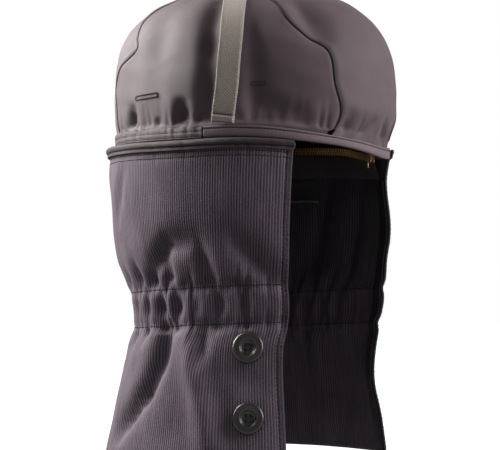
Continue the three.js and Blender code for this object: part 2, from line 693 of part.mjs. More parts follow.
// The curtain's faces are flat between its levels, so near its top edge the radius runs straight between two
function curtainTopRadius(bearing, height) {
  const [top, next] = [curtainHeight(bearing, 0), curtainHeight(bearing, 1)];
  const share = (top - height) / (top - next);
  return lerp(curtainRadius(bearing, top), curtainRadius(bearing, next), share);
}

// A place on the curtain by column and level, from its right front edge round to its left one
function curtainPlace(column, level, inward) {
  const edge = frontEdge(curtainHeight(180, level));
  const bearing = lerp(edge, 360 - edge, column / CURTAIN_COLUMNS);
  const height = curtainHeight(bearing, level);
  return place(bearing, curtainRadius(bearing, height) - inward, height);
}

function neckCurtain() {
  const face = (inward) => (c, r) => curtainPlace(c, r, inward);
  return wall(CURTAIN_COLUMNS, CURTAIN_LEVELS.length + 1, face(0), face(RIBBED));
}

// A twill binding rolled over the curtain's top edge, fuller towards the nape
function curtainBinding() {
  const { top, bottom, frontThickness, backThickness, roll } = BINDING;
  const face = (inner) => (c, r) => {
    const share = BINDING_SHARES[r];
    const bearing = lerp(topEdge, 360 - topEdge, c / ROUND_STEPS);
    const height = hangLevel(bearing) + lerp(bottom, top, share);
    const seat = curtainTopRadius(bearing, height) + 2 * GAP;
    if (inner) return place(bearing, seat, height);
    const towardsNape = (1 - Math.cos(radians(bearing))) / 2;
    const bulge = lerp(-roll, roll, Math.sin(Math.PI * share)) / 2;
    return place(bearing, seat + lerp(frontThickness, backThickness, towardsNape) + bulge, height);
  };
  return wall(ROUND_STEPS, BINDING_SHARES.length - 1, face(false), face(true));
}

// A turned-back facing inside each front edge, one and a half columns wide, from the zip's tape to the hem
function frontFacing(hand) {
  const column = (k) => (hand > 0 ? k : CURTAIN_COLUMNS - k);
  const face = (inward) => (c, r) => {
    const depth = RIBBED + 4 * GAP + inward;
    const [near, far] = [Math.floor(FACING_COLUMNS[c]), Math.ceil(FACING_COLUMNS[c])];
    const start = curtainPlace(column(near), r + 1, depth);
    return start.lerp(curtainPlace(column(far), r + 1, depth), FACING_COLUMNS[c] - near);
  };
  return wall(FACING_COLUMNS.length - 1, CURTAIN_LEVELS.length, face(0), face(TAPE));
}

function innerLabel() {
  const halfTurn = THREE.MathUtils.radToDeg(LABEL.width / 2 / CROWN.side);
  const face = (inward) => (c, r) => {
    const bearing = LABEL.bearing + lerp(-halfTurn, halfTurn, c / LABEL_STEPS.across);
    const top = rimHeight(bearing) + ZIP.lowerTapeBottom - GAP - LABEL.drop;
    const height = top - LABEL.height * (r / LABEL_STEPS.down);
    return place(bearing, curtainRadius(bearing, height) - RIBBED - 3 * GAP - inward, height);
  };
  return wall(LABEL_STEPS.across, LABEL_STEPS.down, face(0), face(TAPE));
}

// Buttons

// A three.js geometry as a solid for cutting, and back
function toSolid(geometry) {
  const plain = geometry.index ? geometry.toNonIndexed() : geometry;
  const position = plain.getAttribute("position");
  const corners = new Map();
  const points = [];
  const triVerts = new Uint32Array(position.count);
  for (let i = 0; i < position.count; i += 1) {
    const p = [position.getX(i), position.getY(i), position.getZ(i)];
    const key = p.map((v) => Math.round(v / MERGE_STEP)).join();
    if (!corners.has(key)) corners.set(key, points.push(...p) / 3 - 1);
    triVerts[i] = corners.get(key);
  }
  const faces = [];
  for (let i = 0; i < triVerts.length; i += 3) {
    const [a, b, c] = triVerts.subarray(i, i + 3);
    if (a !== b && b !== c && c !== a) faces.push(a, b, c);
  }
  const vertProperties = new Float32Array(points);
  return new wasm.Manifold(new wasm.Mesh({ numProp: 3, vertProperties, triVerts: new Uint32Array(faces) }));
}

function toGeometry(solid) {
  const mesh = solid.getMesh();
  const geometry = new THREE.BufferGeometry();
  geometry.setAttribute("position", new THREE.BufferAttribute(mesh.vertProperties, 3));
  geometry.setIndex(new THREE.BufferAttribute(mesh.triVerts, 1));
  return geometry;
}

// A dished four-hole button with its face towards +Y
function buttonGeometry() {
  const { diameter, wellDiameter, holeDiameter, holeSpacing } = BUTTON;
  const profile = [
    new THREE.Vector2(0, 0),
    ...BUTTON_RIM.map(({ inset, up }) => new THREE.Vector2(diameter / 2 - inset, up)),
    ...BUTTON_WELL.map(({ inset, up }) => new THREE.Vector2(wellDiameter / 2 - inset, up)),
  ];
  let solid = toSolid(new THREE.LatheGeometry(profile, BUTTON_SIDES));
  for (const x of [-1, 1]) {
    for (const z of [-1, 1]) {
      const drill = new THREE.CylinderGeometry(holeDiameter / 2, holeDiameter / 2, diameter, HOLE_SIDES);
      drill.translate(x * holeSpacing, 0, z * holeSpacing);
      solid = solid.subtract(toSolid(drill));
    }
  }
  return toGeometry(solid);
}

// Puts a button flat on the curtain's outer face
function placeButton(mesh, height) {
  const reach = 6; // degrees to each side, and millimetres up and down
  const at = (turn, rise) => {
    const bearing = BUTTON.bearing + turn;
    return place(bearing, curtainRadius(bearing, height + rise), height + rise);
  };
  const across = at(-reach, 0).sub(at(reach, 0));
  const upward = at(0, reach).sub(at(0, -reach));
  const normal = across.cross(upward).normalize();
  if (normal.dot(place(BUTTON.bearing, 1, 0)) < 0) normal.negate();
  mesh.quaternion.setFromUnitVectors(new THREE.Vector3(0, 1, 0), normal);
  mesh.position.copy(at(0, 0)).addScaledVector(normal, BUTTON.lift);
}

// Materials and assembly

const cloth = (color, roughness) => new THREE.MeshStandardMaterial({ color, roughness, metalness: 0 });
const twill = cloth(0x55505a, 0.75);
const ribbedCloth = cloth(0x4a454d, 0.85);
const pipingCloth = cloth(0x17161a, 0.8);
const webbing = cloth(0x66625c, 0.8);
const zipTape = cloth(0x1d1a1a, 0.9);
const labelCloth = cloth(0x1b1b1e, 0.8);
const brass = new THREE.MeshStandardMaterial({ color: 0xb08a3c, roughness: 0.35, metalness: 1 });
const buttonPlastic = new THREE.MeshStandardMaterial({ color: 0x2b2a28, roughness: 0.4, metalness: 0 });

const liner = new THREE.Group();

function piece(name, geometry, material) {
  const mesh = new THREE.Mesh(geometry, material);
  mesh.name = name;
  liner.add(mesh);
  return mesh;
}

piece("crown_panel_centre", centrePanel(), twill);
for (const [side, hand] of [["right", 1], ["left", -1]]) {
  piece(`crown_panel_${side}`, sidePanel(hand), twill);
  piece(`seam_piping_${side}`, seamPiping(hand), pipingCloth);
  piece(`front_facing_${side}`, frontFacing(hand), ribbedCloth);
}
piece("crown_strap", crownStrap(), webbing);
piece("rim_band_front", frontBand(), twill);
piece("rim_hem_back", backHem(), twill);
piece("zip_tape_upper", zipUpperTape(), zipTape);
piece("zip_chain", zipChain(), brass);
piece("zip_tape_lower", zipLowerTape(), zipTape);
piece("zip_slider", zipSlider(), brass);
piece("neck_curtain", neckCurtain(), ribbedCloth);
piece("curtain_binding", curtainBinding(), twill);
piece("inner_label", innerLabel(), labelCloth);
for (const level of ["upper", "lower"]) {
  placeButton(piece(`button_${level}`, buttonGeometry(), buttonPlastic), BUTTON[level]);
}

export default liner;
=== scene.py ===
"""The looks of a flame-resistant winter liner that goes under a hard hat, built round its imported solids.

Tables and surfaces are in millimetres, in the solids' frame: +Z up, the wearer faces -Y, the wearer's right
is -X, and the origin is the inside of the crown's top. A bearing is an angle in degrees round the head: 0 at
the forehead, 90 at the right ear, 180 at the nape.
"""

import random

import bmesh
import bpy
import numpy as np
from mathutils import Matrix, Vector


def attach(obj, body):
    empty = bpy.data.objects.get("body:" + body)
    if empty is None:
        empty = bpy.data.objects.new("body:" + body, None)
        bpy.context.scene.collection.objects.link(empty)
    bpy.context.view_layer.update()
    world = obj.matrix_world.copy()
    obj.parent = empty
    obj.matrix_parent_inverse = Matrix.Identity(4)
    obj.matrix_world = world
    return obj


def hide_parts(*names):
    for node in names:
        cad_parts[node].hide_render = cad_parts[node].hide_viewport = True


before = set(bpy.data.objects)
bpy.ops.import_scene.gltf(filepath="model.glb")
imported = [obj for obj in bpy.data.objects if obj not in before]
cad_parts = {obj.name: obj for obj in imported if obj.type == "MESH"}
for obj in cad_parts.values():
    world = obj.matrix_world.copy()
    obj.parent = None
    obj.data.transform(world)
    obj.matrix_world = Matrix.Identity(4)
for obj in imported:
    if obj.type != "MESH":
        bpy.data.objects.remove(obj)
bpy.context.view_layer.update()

MM = 0.001
lit_pieces = bpy.data.collections.new("lit_pieces")


def table(columns, *rows):
    """A table as named columns."""
    return dict(zip(columns.split(), np.array(rows, float).T))


# Cloth and clearances
TWILL = 1.6
RIBBED = 2.0
TAPE = 1.0
GAP = 0.3

# The cap: half-axes of its plan at the widest level, how round it is above, and how far the rim tucks in
# between two heights
CROWN = {"side": 84.0, "front": 106.5, "back": 99.0, "widest": -72.0, "top": TWILL}
ROUNDNESS = {"side": 2.6, "front": 2.5, "back": 2.9}
TUCK = {"side": 3.0, "front": 8.0, "back": 2.3}
TUCK_FROM = {"side": -72.0, "front": -84.0, "back": -72.0}
TUCK_TO = {"side": -109.5, "front": -114.0, "back": -109.5}
TUCK_POWER = 1.6
RIM = {"height": -109.5, "rise_per_depth": 0.05, "cap_overlap": 4.4}
# Where the rim rides up or dips, each over a width in degrees
RIM_WAVES = table("bearing width rise", (55, 26, 2.2), (-8, 20, -4.2), (-90, 30, 3))

# The seam between a side panel and the centre panel, from the forehead over the top to the nape
SEAM = table(
    "bearing height",
    (23, -112),
    (19.3, -95),
    (22, -75),
    (24.5, -54),
    (32, -44.5),
    (38.5, -34),
    (44, -18),
    (86, -6.5),
    (120, -13.5),
    (124.5, -23),
    (121, -36),
    (118, -43.5),
    (124.5, -49),
    (136, -55.5),
    (142, -66),
    (139, -77.5),
    (138, -106),
)
SEAM_CLEARANCE = 0.95
RIM_SEAM_CLEARANCE = 1.2
SEAM_DIP = {"depth": 0.5, "width": 1.4, "puff": 0.15, "puff_at": 3.5, "puff_width": 2.2}
PIPING = {"radius": 1.1, "sunk": 0.6, "sides": 10, "stations": 260}

# Valleys in the slack cap cloth, each along a line from one place to another, on both sides of the cap
CAP_FOLDS = table(
    "bearing height to_bearing to_height width depth",
    (86.5, -87, 87, -97, 4.4, 5),
    (120, -86, 122, -97, 4, 4.8),
    (50, -90, 39, -94, 9, 5),
    (54, -41, 52, -98, 8, 3.5),
    (71, -20, 72, -50, 8, 5),
    (72, -50, 74, -99, 8, 5),
    (58, -82, 34, -84, 19, 3),
    (31, -16, 27.5, -41, 9, 6),
    (15.5, -96, 17, -110, 4.5, 3),
    (4, -97, 11.5, -111, 3.5, 3.4),
    (104, -34, 97, -56, 12, 2.5),
    (101.5, -96, 101.5, -102, 2.6, 2.6),
    (160, -86, 158, -105, 5, 3),
)
# Above the hem the valleys reach their depth over a fade, and each is shallower at its two ends
FOLD_FADE = 5
FOLD_ENDS = 0.2
# How far slack cloth swells and sinks by itself
UNEVEN = 0.35

# Small puckers that the hem's and the band's stitches draw up in the cap
PUCKERS = {"count": 84, "width": (0.9, 2.0), "depth": (0.3, 1.3), "reach": (5, 15), "fade": 3}

# Strips round the rim: heights are measured up from the band's lower edge
BAND = {"height": 7.5, "thickness": 2.0, "end_bearing": 75.5, "stand_off": 0.5, "end_round": 0.9}
BAND_NARROWING = {"share": 0.22, "bearing": 20, "width": 22}
BAND_GROOVE = {"depth": 0.55, "down": 1.9, "width": 0.45, "stitch_depth": 0.35}
BAND_BELLY = {"depth": 0.25, "up": 2.8, "width": 2.2}
HEM = {"height": 8.0, "thickness": 1.2, "end_turn": 0.5, "end_round": 0.6, "ripple": 0.5, "ripple_reach": 6}
HEM_ROWS = {"heights": (4.6, 1.4), "depth": 0.3, "width": 0.5, "stitch_depth": 0.25}
# Meshes of the strips: columns round the rim, how square the section is, and corners on each of its faces
STRIP_MESH = {"band": (260, 6, 27), "hem": (520, 4, 19), "tape": (300, 4, 15), "binding": (420, 2.6, 33)}
# Meshes of the panels, the facings and the label: columns and rows
PANEL_MESH = {"centre": (230, 120), "side": (170, 84), "facing": (12, 90), "label": (60, 24)}
# How far the backs of the band and the hem sink towards the cap that they are sewn to
SEWN_DEPTH = 0.7
ZIP = {
    "chain_out": -2.2,
    "chain_thickness": 3.2,
    "chain_top": 4.0,
    "chain_bottom": -1.5,
    "end_turn": 1.0,
    "lift": 4.0,
    "lift_turn": 26.0,
    "upper_tape_top": 5.3,
    "lower_tape_bottom": -14.0,
    "clamp": 0.8,
    "tooth_pitch": 2.4,
    "tooth": (0.9, 2.9, 2.3),
}
# The slider's two plates, the bridge between them, the lug behind and the pull that hangs from it
SLIDER = {
    "size": (6.2, 8.0, 3.4),
    "out": -3.0,
    "plate": 1.0,
    "bridge": (2.0, 3.2),
    "lug": (3.4, 1.6, 0.9),
    "lug_up": 1.2,
    "pull": (3.0, 8.5, 0.8),
    "pull_down": 3.6,
    "pull_behind": 0.95,
}

# The strap: its edges and ends are thinner, and a groove is sewn behind the doubled flap at each end
STRAP = {
    "width": 15.4,
    "thickness": 1.5,
    "lift": 0.5,
    "edge_round": 0.8,
    "edge_share": 0.55,
    "selvedge": 0.9,
    "end_run": 160.0,
    "end_round": 0.9,
    "end_share": 0.35,
    "flap": 4.2,
    "flap_rise": 0.7,
    "flap_step": 0.6,
    "groove": 0.5,
    "groove_behind": 0.8,
    "groove_width": 0.6,
    "steps": 420,
    "strands": 28,
}
# How far in front of the crown's middle the strap lies, at runs from its own middle
STRAP_ROWS = table(
    "run forward",
    (0, 20.4),
    (40, 24.9),
    (71, 33),
    (90, 38.6),
    (106, 41.4),
    (132, 41.2),
    (161, 36.9),
)

# Stitched slots in the cap, on both sides: a middle, a tilt in degrees, a size and the thread's radius
SLOTS = table(
    "bearing height tilt length width thread",
    (108, -78.5, 0.5, 22.5, 2.6, 0.5),
    (51, -75.5, -3, 10, 2.0, 0.22),
)

# The curtain: half-axes of its plan at each level, how far round from the forehead its front edges stand,
# and how far the left one flares out
CURTAIN = table(
    "height side front back edge flare",
    (-112, 84.2, 104, 103, 37.4, 3.8),
    (-131, 84, 103, 103.7, 38.2, 2),
    (-161, 82, 103, 102.4, 38.7, 6.4),
    (-186, 79, 103, 96.2, 38.8, 5),
    (-205, 75.5, 103, 87.5, 38.6, 6),
    (-217, 74.5, 102.5, 83.6, 38.2, 5),
    (-229, 74, 102, 83.5, 38.3, 3.6),
    (-242, 76, 101, 87.5, 40.6, 2),
    (-266, 79.5, 100.5, 92.5, 41, -2),
    (-291, 82.5, 101, 99.2, 40.6, 0.8),
    (-317, 86, 103, 105, 40.5, 0.8),
)
# The curtain's top edge, from the level that it hangs from
CURTAIN_TOP = -1.4
# The left front corner stands up, and the top edge climbs to it along a shoulder
CORNER = {"rise": 4.0, "width": 5.0, "shoulder_rise": 3.6, "shoulder_width": 19.0}
CURTAIN_HEM = -317.0
WAIST = {"upper": -205.0, "lower": -229.0, "pinch": 1.3, "stitch_width": 3.5, "tilt": 2.4}
FLARE = {"bearing": -38, "width": 14}
# The share of a pleat's depth on the rows, and the share of its run at which it is deepest beyond them
PLEAT_ON_ROW = 0.25
PLEAT_PEAK = 0.35
# A pleat that runs on for less than this opens less beyond its row
PLEAT_FULL_RUN = 20.0
# Above the upper row the pleats lie nearer to the nape
PLEAT_JOG = {"turn": 4.5, "reach": 5.0}
# The waist's pleats, and how far each runs on above and below the two rows
PLEATS = table(
    "bearing width depth up down",
    (57, 2.8, 5, 6, 5),
    (69.5, 3.6, 4, 10, 8),
    (82, 2.6, 1.4, 12, 16),
    (94.5, 4, 6, 24, 8),
    (106.8, 4, 6.2, 16, 6),
    (119.5, 3.4, 4.6, 24, 12),
    (133, 3.6, 3.8, 20, 18),
    (149, 3.8, 4, 25, 24),
    (161, 3.6, 3.4, 18, 20),
    (174, 4, 4.2, 24, 28),
    (187, 3.6, 3.6, 20, 18),
    (199, 3.8, 4.2, 26, 24),
    (212, 3.6, 3.6, 20, 20),
    (224, 3.8, 4.2, 24, 26),
    (238, 3.6, 3.8, 20, 18),
    (251, 3.8, 4, 22, 24),
    (265, 3.4, 4.2, 24, 16),
    (277, 3.2, 4, 22, 28),
    (288, 3, 3.4, 18, 14),
    (298, 3, 2.4, 14, 12),
)
# Valleys in the curtain, each along a line; those with a negative depth are ridges
CURTAIN_FOLDS = table(
    "bearing height to_bearing to_height width depth",
    (103, -232, 103.5, -254, 7.5, 8),
    (105.5, -256, 113, -276, 7.5, 8),
    (115, -278, 131, -302, 7, 8),
    (86.5, -240, 80, -260, 8.5, -5.5),
    (80, -260, 72, -308, 9.5, -7),
    (77.5, -234, 78.5, -252, 5, 4.5),
    (62, -262, 50, -268, 6, 1.2),
    (107.5, -190, 98, -178, 6, 6.5),
    (96, -175.5, 82, -174.5, 6, 4.6),
    (78.5, -179, 74.5, -197, 5, 5),
    (62, -174, 46, -197, 7, 6),
    (126, -126, 136, -158, 6, 2),
    (278, -132, 270, -192, 8, -5),
    (300, -134, 296, -196, 8, -5),
    (248, -236, 236, -302, 8, 8),
    (165, -238, 160, -312, 9, 6),
    (200, -238, 208, -308, 9, 7),
    (275, -240, 283, -306, 8, 5),
    (150, -146, 160, -192, 8, 3),
    (214, -144, 204, -194, 8, 3.5),
)
# Small tucks that the waist's stitches draw up between the pleats
TUCKS = {"count": 90, "width": (0.7, 1.5), "depth": (0.3, 1.2), "reach": (4, 11)}

# Ribs: how many, their pitch on the facings, the shares of a rib's height at its corners, and that height
RIBS = 236
RIB_PITCH = 1.67
RIB_SAMPLES = (0.0, 0.9, 0.9)
RIB_HEIGHT = 0.34
# Where the curtain's rows of corners lie: heights and how many rows go down to each
CURTAIN_LEVELS = table("height rows", (-131, 12), (-197, 13), (-237, 24), (-309, 13), (-317, 5))
# A front edge: how far in it is rounded and unribbed, its roll, and the stitched groove behind the roll
FRONT_EDGE = {
    "round": 1.0,
    "plain": 1.6,
    "roll": 0.25,
    "roll_at": 1.7,
    "roll_width": 1.4,
    "roll_wobble": 0.5,
    "groove": 0.5,
    "groove_at": 4.2,
    "groove_width": 0.8,
    "stitched_from": -124,
}
# Loose threads over a front edge's roll: their spacing in steps, where they start and end, and their slant
OVERCAST = {"every": 4, "start": 0.5, "end": (2.2, 3.4), "slant": (-1.2, 1.2)}

# The binding, measured from the level that the curtain hangs from, and the rows of stitches below it
BINDING = {"top": -0.9, "bottom": -7.2, "front_thickness": 2.2, "back_thickness": 3.3, "end_round": 1.6}
# The binding's flat lower flange: its height, and its share of the roll's thickness
FLANGE = {"height": 2.3, "share": 0.6, "groove": 0.25}
BINDING_STITCHES = (-8.7, -11.8)
BINDING_ROW = {"depth": 0.3, "width": 0.8}
# A facing runs between two shares of a column's width, from a height down to just above the hem
FACING_COLUMNS = (0.04, 1.5)
FACING_COLUMN_COUNT = 80
FACING_TOP = -129
LABEL = {"bearing": 259, "width": 44.0, "height": 15.5, "drop": 2.6, "tilt": 2.2, "fold": 0.9}
BUTTON = {
    "bearing": 55,
    "upper": -243.4,
    "lower": -287.3,
    "hole": 1.8,
    "hole_depth": 1.3,
    "hole_edge": 0.3,
    "spacing": 1.7,
    "lift": 0.5,
    "sides": 96,
    "steps": 130,
}
BUTTONHOLE = {"half_turn": 6.5, "half_gap": 0.8, "lift": 0.35}
# A button's section, from its back round the rim and into its well
BUTTON_SECTION = table(
    "radius up",
    (0, 0),
    (8.1, 0),
    (9.7, 1),
    (10.1, 2),
    (9.6, 3.1),
    (8.7, 3.6),
    (7.2, 3.5),
    (5.4, 3.1),
    (4.3, 2.0),
    (3.4, 1.65),
    (0, 1.6),
)

# Rows of stitches: their pitch, and each stitch's length and radius
STITCHES = {
    "strap_end": (2.0, 1.7, 0.26),
    "band": (2.5, 1.9, 0.26),
    "band_end": (1.6, 1.3, 0.26),
    "hem": (2.4, 1.9, 0.26),
    "under_binding": (2.2, 1.8, 0.3),
    "binding_edge": (2.4, 1.8, 0.26),
    "waist": (2.8, 2.3, 0.36),
    "curtain_hem": (2.6, 2.0, 0.3),
    "front_edge": (2.5, 2.0, 0.22),
    "overcast": (3, 2.6, 0.2),
    "buttonhole": (1.0, 1.2, 0.36),
}
SLOT_STITCH = {"pitch": 1.1, "length": 1.3, "lift": 0.12}
# Zigzag threads: their pitch, width and radius
ZIGZAGS = {"selvedge": (1.15, 1.3, 0.2), "facing": (1.3, 2.4, 0.24)}
# How far from the curtain's front edges its rows stop, in degrees, and how far its threads stand out
ROW_STOPS = {"binding": 2, "waist": 4}
ROW_LIFT = 0.3
UNDER_BINDING_LIFT = 0.15
CURTAIN_HEM_ROW = CURTAIN_HEM + 3
ROW_STEPS = 1400

# The photograph's camera: its turn, distance and height, and the place that it looks at
CAMERA = {"turn": -55.0, "distance": 1000.0, "height": -227.0, "aim_height": -160.0, "aim_right": 0.7}
IMAGE_WIDTH = 500
FOCAL_PIXELS = 1449
SENSOR = 36.0
FLOOR = -352.0
FLOOR_HALF = 40000
SURROUND = {"below": (0.2, 0.2, 0.2), "above": (0.62, 0.62, 0.62)}
# Each light's turn to the camera's right, distance, height, size in metres, power and colour
SOFT_BOXES = (
    ("left_soft_box", -106, 1050, 480, (0.6, 0.7), 80, (1.0, 0.965, 0.945)),
    ("right_soft_box", 70, 1050, 250, (0.7, 0.9), 36, (1.0, 0.96, 0.99)),
)


# Plain maths


def smooth(t):
    t = np.clip(t, 0, 1)
    return t * t * (3 - 2 * t)


def bell(distance, width):
    return np.exp(-((distance / width) ** 2))


def mix(a, b, share):
    return a + (b - a) * share


def unit(v):
    return v / np.linalg.norm(v, axis=-1, keepdims=True)


def turn_between(a, b):
    return (a - b + 180) % 360 - 180


def place(bearing, radius, height):
    turn = np.radians(bearing)
    return np.stack(np.broadcast_arrays(-radius * np.sin(turn), -radius * np.cos(turn), height), axis=-1)


def bearing_of(p):
    return np.degrees(np.arctan2(-p[..., 0], -p[..., 1]))


def outward(bearing):
    return place(bearing, 1.0, 0.0)


def plan_radius(side, front, back, bearing):
    """The radius of a plan that is half an ellipse in front and half an ellipse behind."""
    s = np.sin(np.radians(bearing))
    c = np.cos(np.radians(bearing))
    return 1 / np.hypot(s / side, c / np.where(c > 0, front, back))


def curve_at(keys, values, at):
    """A smooth curve through a table's rows, at values of its key column."""
    way = np.sign(keys[-1] - keys[0])
    position = np.interp(np.asarray(at, float) * way, keys * way, np.arange(len(keys)))
    i = np.clip(position.astype(int), 0, len(keys) - 2)
    t = position - i
    padded = np.pad(values, 1, mode="edge")
    slope = (padded[2:] - padded[:-2]) / 2
    gain = values[i + 1] - values[i]
    bend = 3 * gain - 2 * slope[i] - slope[i + 1]
    twist = slope[i] + slope[i + 1] - 2 * gain
    return values[i] + t * (slope[i] + t * (bend + t * twist))


def reached(path):
    """How far along a path each of its places is."""
    return np.append(0, np.cumsum(np.linalg.norm(np.diff(path, axis=0), axis=1)))


def at_runs(path, runs, values=None):
    """Places on a path at lengths along it, or values that go with its places."""
    columns = (path if values is None else values).T
    return np.stack([np.interp(runs, reached(path), column) for column in columns], axis=1)


def way_along(path, runs, nudge=0.2):
    """The way along a path at lengths along it."""
    return unit(at_runs(path, runs + nudge) - at_runs(path, runs - nudge))


def path_length(path):
    return np.linalg.norm(np.diff(path, axis=0), axis=1).sum()


def evenly(path, count):
    return at_runs(path, np.linspace(0, path_length(path), count))


def curve_through(points, steps=60):
    """A centripetal Catmull-Rom curve through points."""
    padded = np.vstack([2 * points[0] - points[1], points, 2 * points[-1] - points[-2]])
    t = np.linspace(0, 1, steps, endpoint=False)[:, None]
    pieces = []
    for a, b, c, d in zip(padded, padded[1:], padded[2:], padded[3:]):
        ab, bc, cd = (np.linalg.norm(q - p) ** 0.5 for p, q in ((a, b), (b, c), (c, d)))
        start = ((b - a) / ab - (c - a) / (ab + bc) + (c - b) / bc) * bc
        end = ((c - b) / bc - (d - b) / (bc + cd) + (d - c) / cd) * bc
        gain = c - b
        pieces.append(b + t * (start + t * (3 * gain - 2 * start - end + t * (start + end - 2 * gain))))
    return np.vstack([*pieces, points[-1:]])


def quarter_round(t):
    """Rises from nearly 0 at an edge to 1, as a quarter of a circle does."""
    return np.sqrt(1 - np.clip(1 - t, 0, 0.97) ** 2)


def dense_ends(count):
    """Shares from 0 to 1, closer together near both ends."""
    t = np.linspace(0, 1, count)
    return t - 0.12 * np.sin(2 * np.pi * t)


def fold_lines(folds, surface, hands=(1,)):
    """A table's valleys on a surface, on one or both sides: a start, an end, a width and a depth each."""
    lines = []
    for hand in hands:
        starts = surface(hand * folds["bearing"], folds["height"])
        ends = surface(hand * folds["to_bearing"], folds["to_height"])
        lines += list(zip(starts, ends, folds["width"], folds["depth"]))
    return lines


def fold_depth(lines, p):
    """How far a list of valleys pushes places inward."""
    depth = np.zeros(p.shape[:-1])
    for start, end, width, deep in lines:
        line = end - start
        along = np.clip((p - start) @ line / (line @ line), 0, 1)
        away = np.linalg.norm(p - start - along[..., None] * line, axis=-1)
        swell = np.sin(np.pi * mix(FOLD_ENDS, 1 - FOLD_ENDS, along))
        depth += deep * swell * bell(away, width)
    return depth


def soft_waves(seed, count, shortest, longest):
    """Slight waves in random directions, for the unevenness of worn cloth."""
    draw = random.Random(seed)
    waves = []
    for _ in range(count):
        direction = Vector((draw.gauss(0, 1), draw.gauss(0, 1), draw.gauss(0, 1))).normalized()
        waves.append((np.array(direction) * 2 * np.pi / draw.uniform(shortest, longest), draw.uniform(0, 7)))
    return waves


def unevenness(waves, p):
    return sum(np.sin(p @ wave + phase) for wave, phase in waves) / len(waves) ** 0.5


def random_rows(seed, sizes):
    """Random small valleys: a bearing, width, depth and reach each, spread evenly round."""
    draw = random.Random(seed)
    rows = []
    for k in range(sizes["count"]):
        bearing = (k + draw.uniform(0, 1)) * 360 / sizes["count"]
        rows.append((bearing, *(draw.uniform(*sizes[name]) for name in ("width", "depth", "reach"))))
    return rows


# The cap's surface


def crown_half(name, height):
    rise = np.clip((height - CROWN["widest"]) / (CROWN["top"] - CROWN["widest"]), 0, 1 - 1e-9)
    start = TUCK_FROM[name]
    tucked = smooth((start - height) / (start - TUCK_TO[name])) ** TUCK_POWER
    power = ROUNDNESS[name]
    return CROWN[name] * (1 - rise**power) ** (1 / power) - TUCK[name] * tucked


def crown_radius(bearing, height):
    halves = [crown_half(name, height) for name in ("side", "front", "back")]
    return plan_radius(*halves, bearing)


def on_crown(bearing, height):
    return place(bearing, crown_radius(bearing, height), height)


def rim_radius(bearing):
    return crown_radius(bearing, RIM["height"])


def rim_height(bearing):
    height = RIM["height"] - RIM["rise_per_depth"] * rim_radius(bearing) * np.cos(np.radians(bearing))
    for middle, width, rise in zip(*RIM_WAVES.values()):
        height = height + rise * bell(turn_between(bearing, middle), width)
    return height


def crown_heart(guide):
    """The centre line's point that a guide point is seen from: level with it below the widest level."""
    heart = np.zeros_like(guide)
    heart[..., 2] = np.minimum(guide[..., 2], CROWN["widest"])
    return heart


def through_crown(guide, halvings=30):
    """The cap's smooth surface straight out through guide points, and the way out."""
    heart = crown_heart(guide)
    out = unit(guide - heart)
    inside = np.zeros(guide.shape[:-1])
    outside = np.full(guide.shape[:-1], 2 * CROWN["front"])
    for _ in range(halvings):
        middle = (inside + outside) / 2
        p = heart + out * middle[..., None]
        reach = np.hypot(p[..., 0], p[..., 1])
        held = (p[..., 2] < CROWN["top"]) & (reach < crown_radius(bearing_of(p), p[..., 2]))
        inside = np.where(held, middle, inside)
        outside = np.where(held, outside, middle)
    return heart + out * inside[..., None], out


cap_folds = fold_lines(CAP_FOLDS, on_crown, hands=(1, -1))
cap_puckers = random_rows(3, PUCKERS)
cap_waves = soft_waves(5, 14, 16, 60)


def pucker_depth(bearing, above_band):
    depth = np.zeros(np.broadcast(bearing, above_band).shape)
    rising = smooth(above_band / PUCKERS["fade"])
    for middle, width, deep, reach in cap_puckers:
        across = bell(turn_between(bearing, middle), width)
        depth += deep * across * bell(above_band - PUCKERS["fade"], reach)
    return depth * rising


def cap_cloth(guide):
    """The cap's outer face at guide points, with its valleys and puckers, and the way out."""
    point, out = through_crown(guide)
    bearing = bearing_of(point)
    above_band = point[..., 2] - rim_height(bearing) - HEM["height"]
    slack = smooth(above_band / FOLD_FADE)
    sunk = slack * (fold_depth(cap_folds, point) - UNEVEN * unevenness(cap_waves, point))
    return point - out * (sunk + pucker_depth(bearing, above_band))[..., None], out


seam_line = curve_through(on_crown(SEAM["bearing"], SEAM["height"]))
seam_above = seam_line[
    seam_line[:, 2] > rim_height(bearing_of(seam_line)) + HEM["height"] + GAP + PIPING["radius"]
]


def to_seam(p):
    """How far places are from the nearer seam."""
    right = p * np.where(p[..., :1] > 0, [-1, 1, 1], 1)
    nearest = np.full(p.shape[:-1], 1e9)
    for seam_place in evenly(seam_line, 420):
        nearest = np.minimum(nearest, np.sum((right - seam_place) ** 2, axis=-1))
    return np.sqrt(nearest)


def along_of(path):
    return unit(np.gradient(path, axis=0))


def mirrored(p):
    return p * [-1, 1, 1]


# Shapes: each is a list of places and a list of faces


def quads(a, b, c, d):
    return np.stack([a, b, c, d], axis=-1).reshape(-1, 4).tolist()


def wall(outer, inner):
    """A closed wall between two grids of places."""
    o, i = np.arange(2 * outer[..., 0].size).reshape(2, *outer.shape[:2])
    faces = quads(o[:-1, :-1], o[1:, :-1], o[1:, 1:], o[:-1, 1:])
    faces += quads(i[:-1, :-1], i[:-1, 1:], i[1:, 1:], i[1:, :-1])
    faces += quads(o[:-1, 0], i[:-1, 0], i[1:, 0], o[1:, 0])
    faces += quads(o[:-1, -1], o[1:, -1], i[1:, -1], i[:-1, -1])
    faces += quads(o[0, :-1], o[0, 1:], i[0, 1:], i[0, :-1])
    faces += quads(o[-1, :-1], i[-1, :-1], i[-1, 1:], o[-1, 1:])
    return np.concatenate([outer.reshape(-1, 3), inner.reshape(-1, 3)]), faces


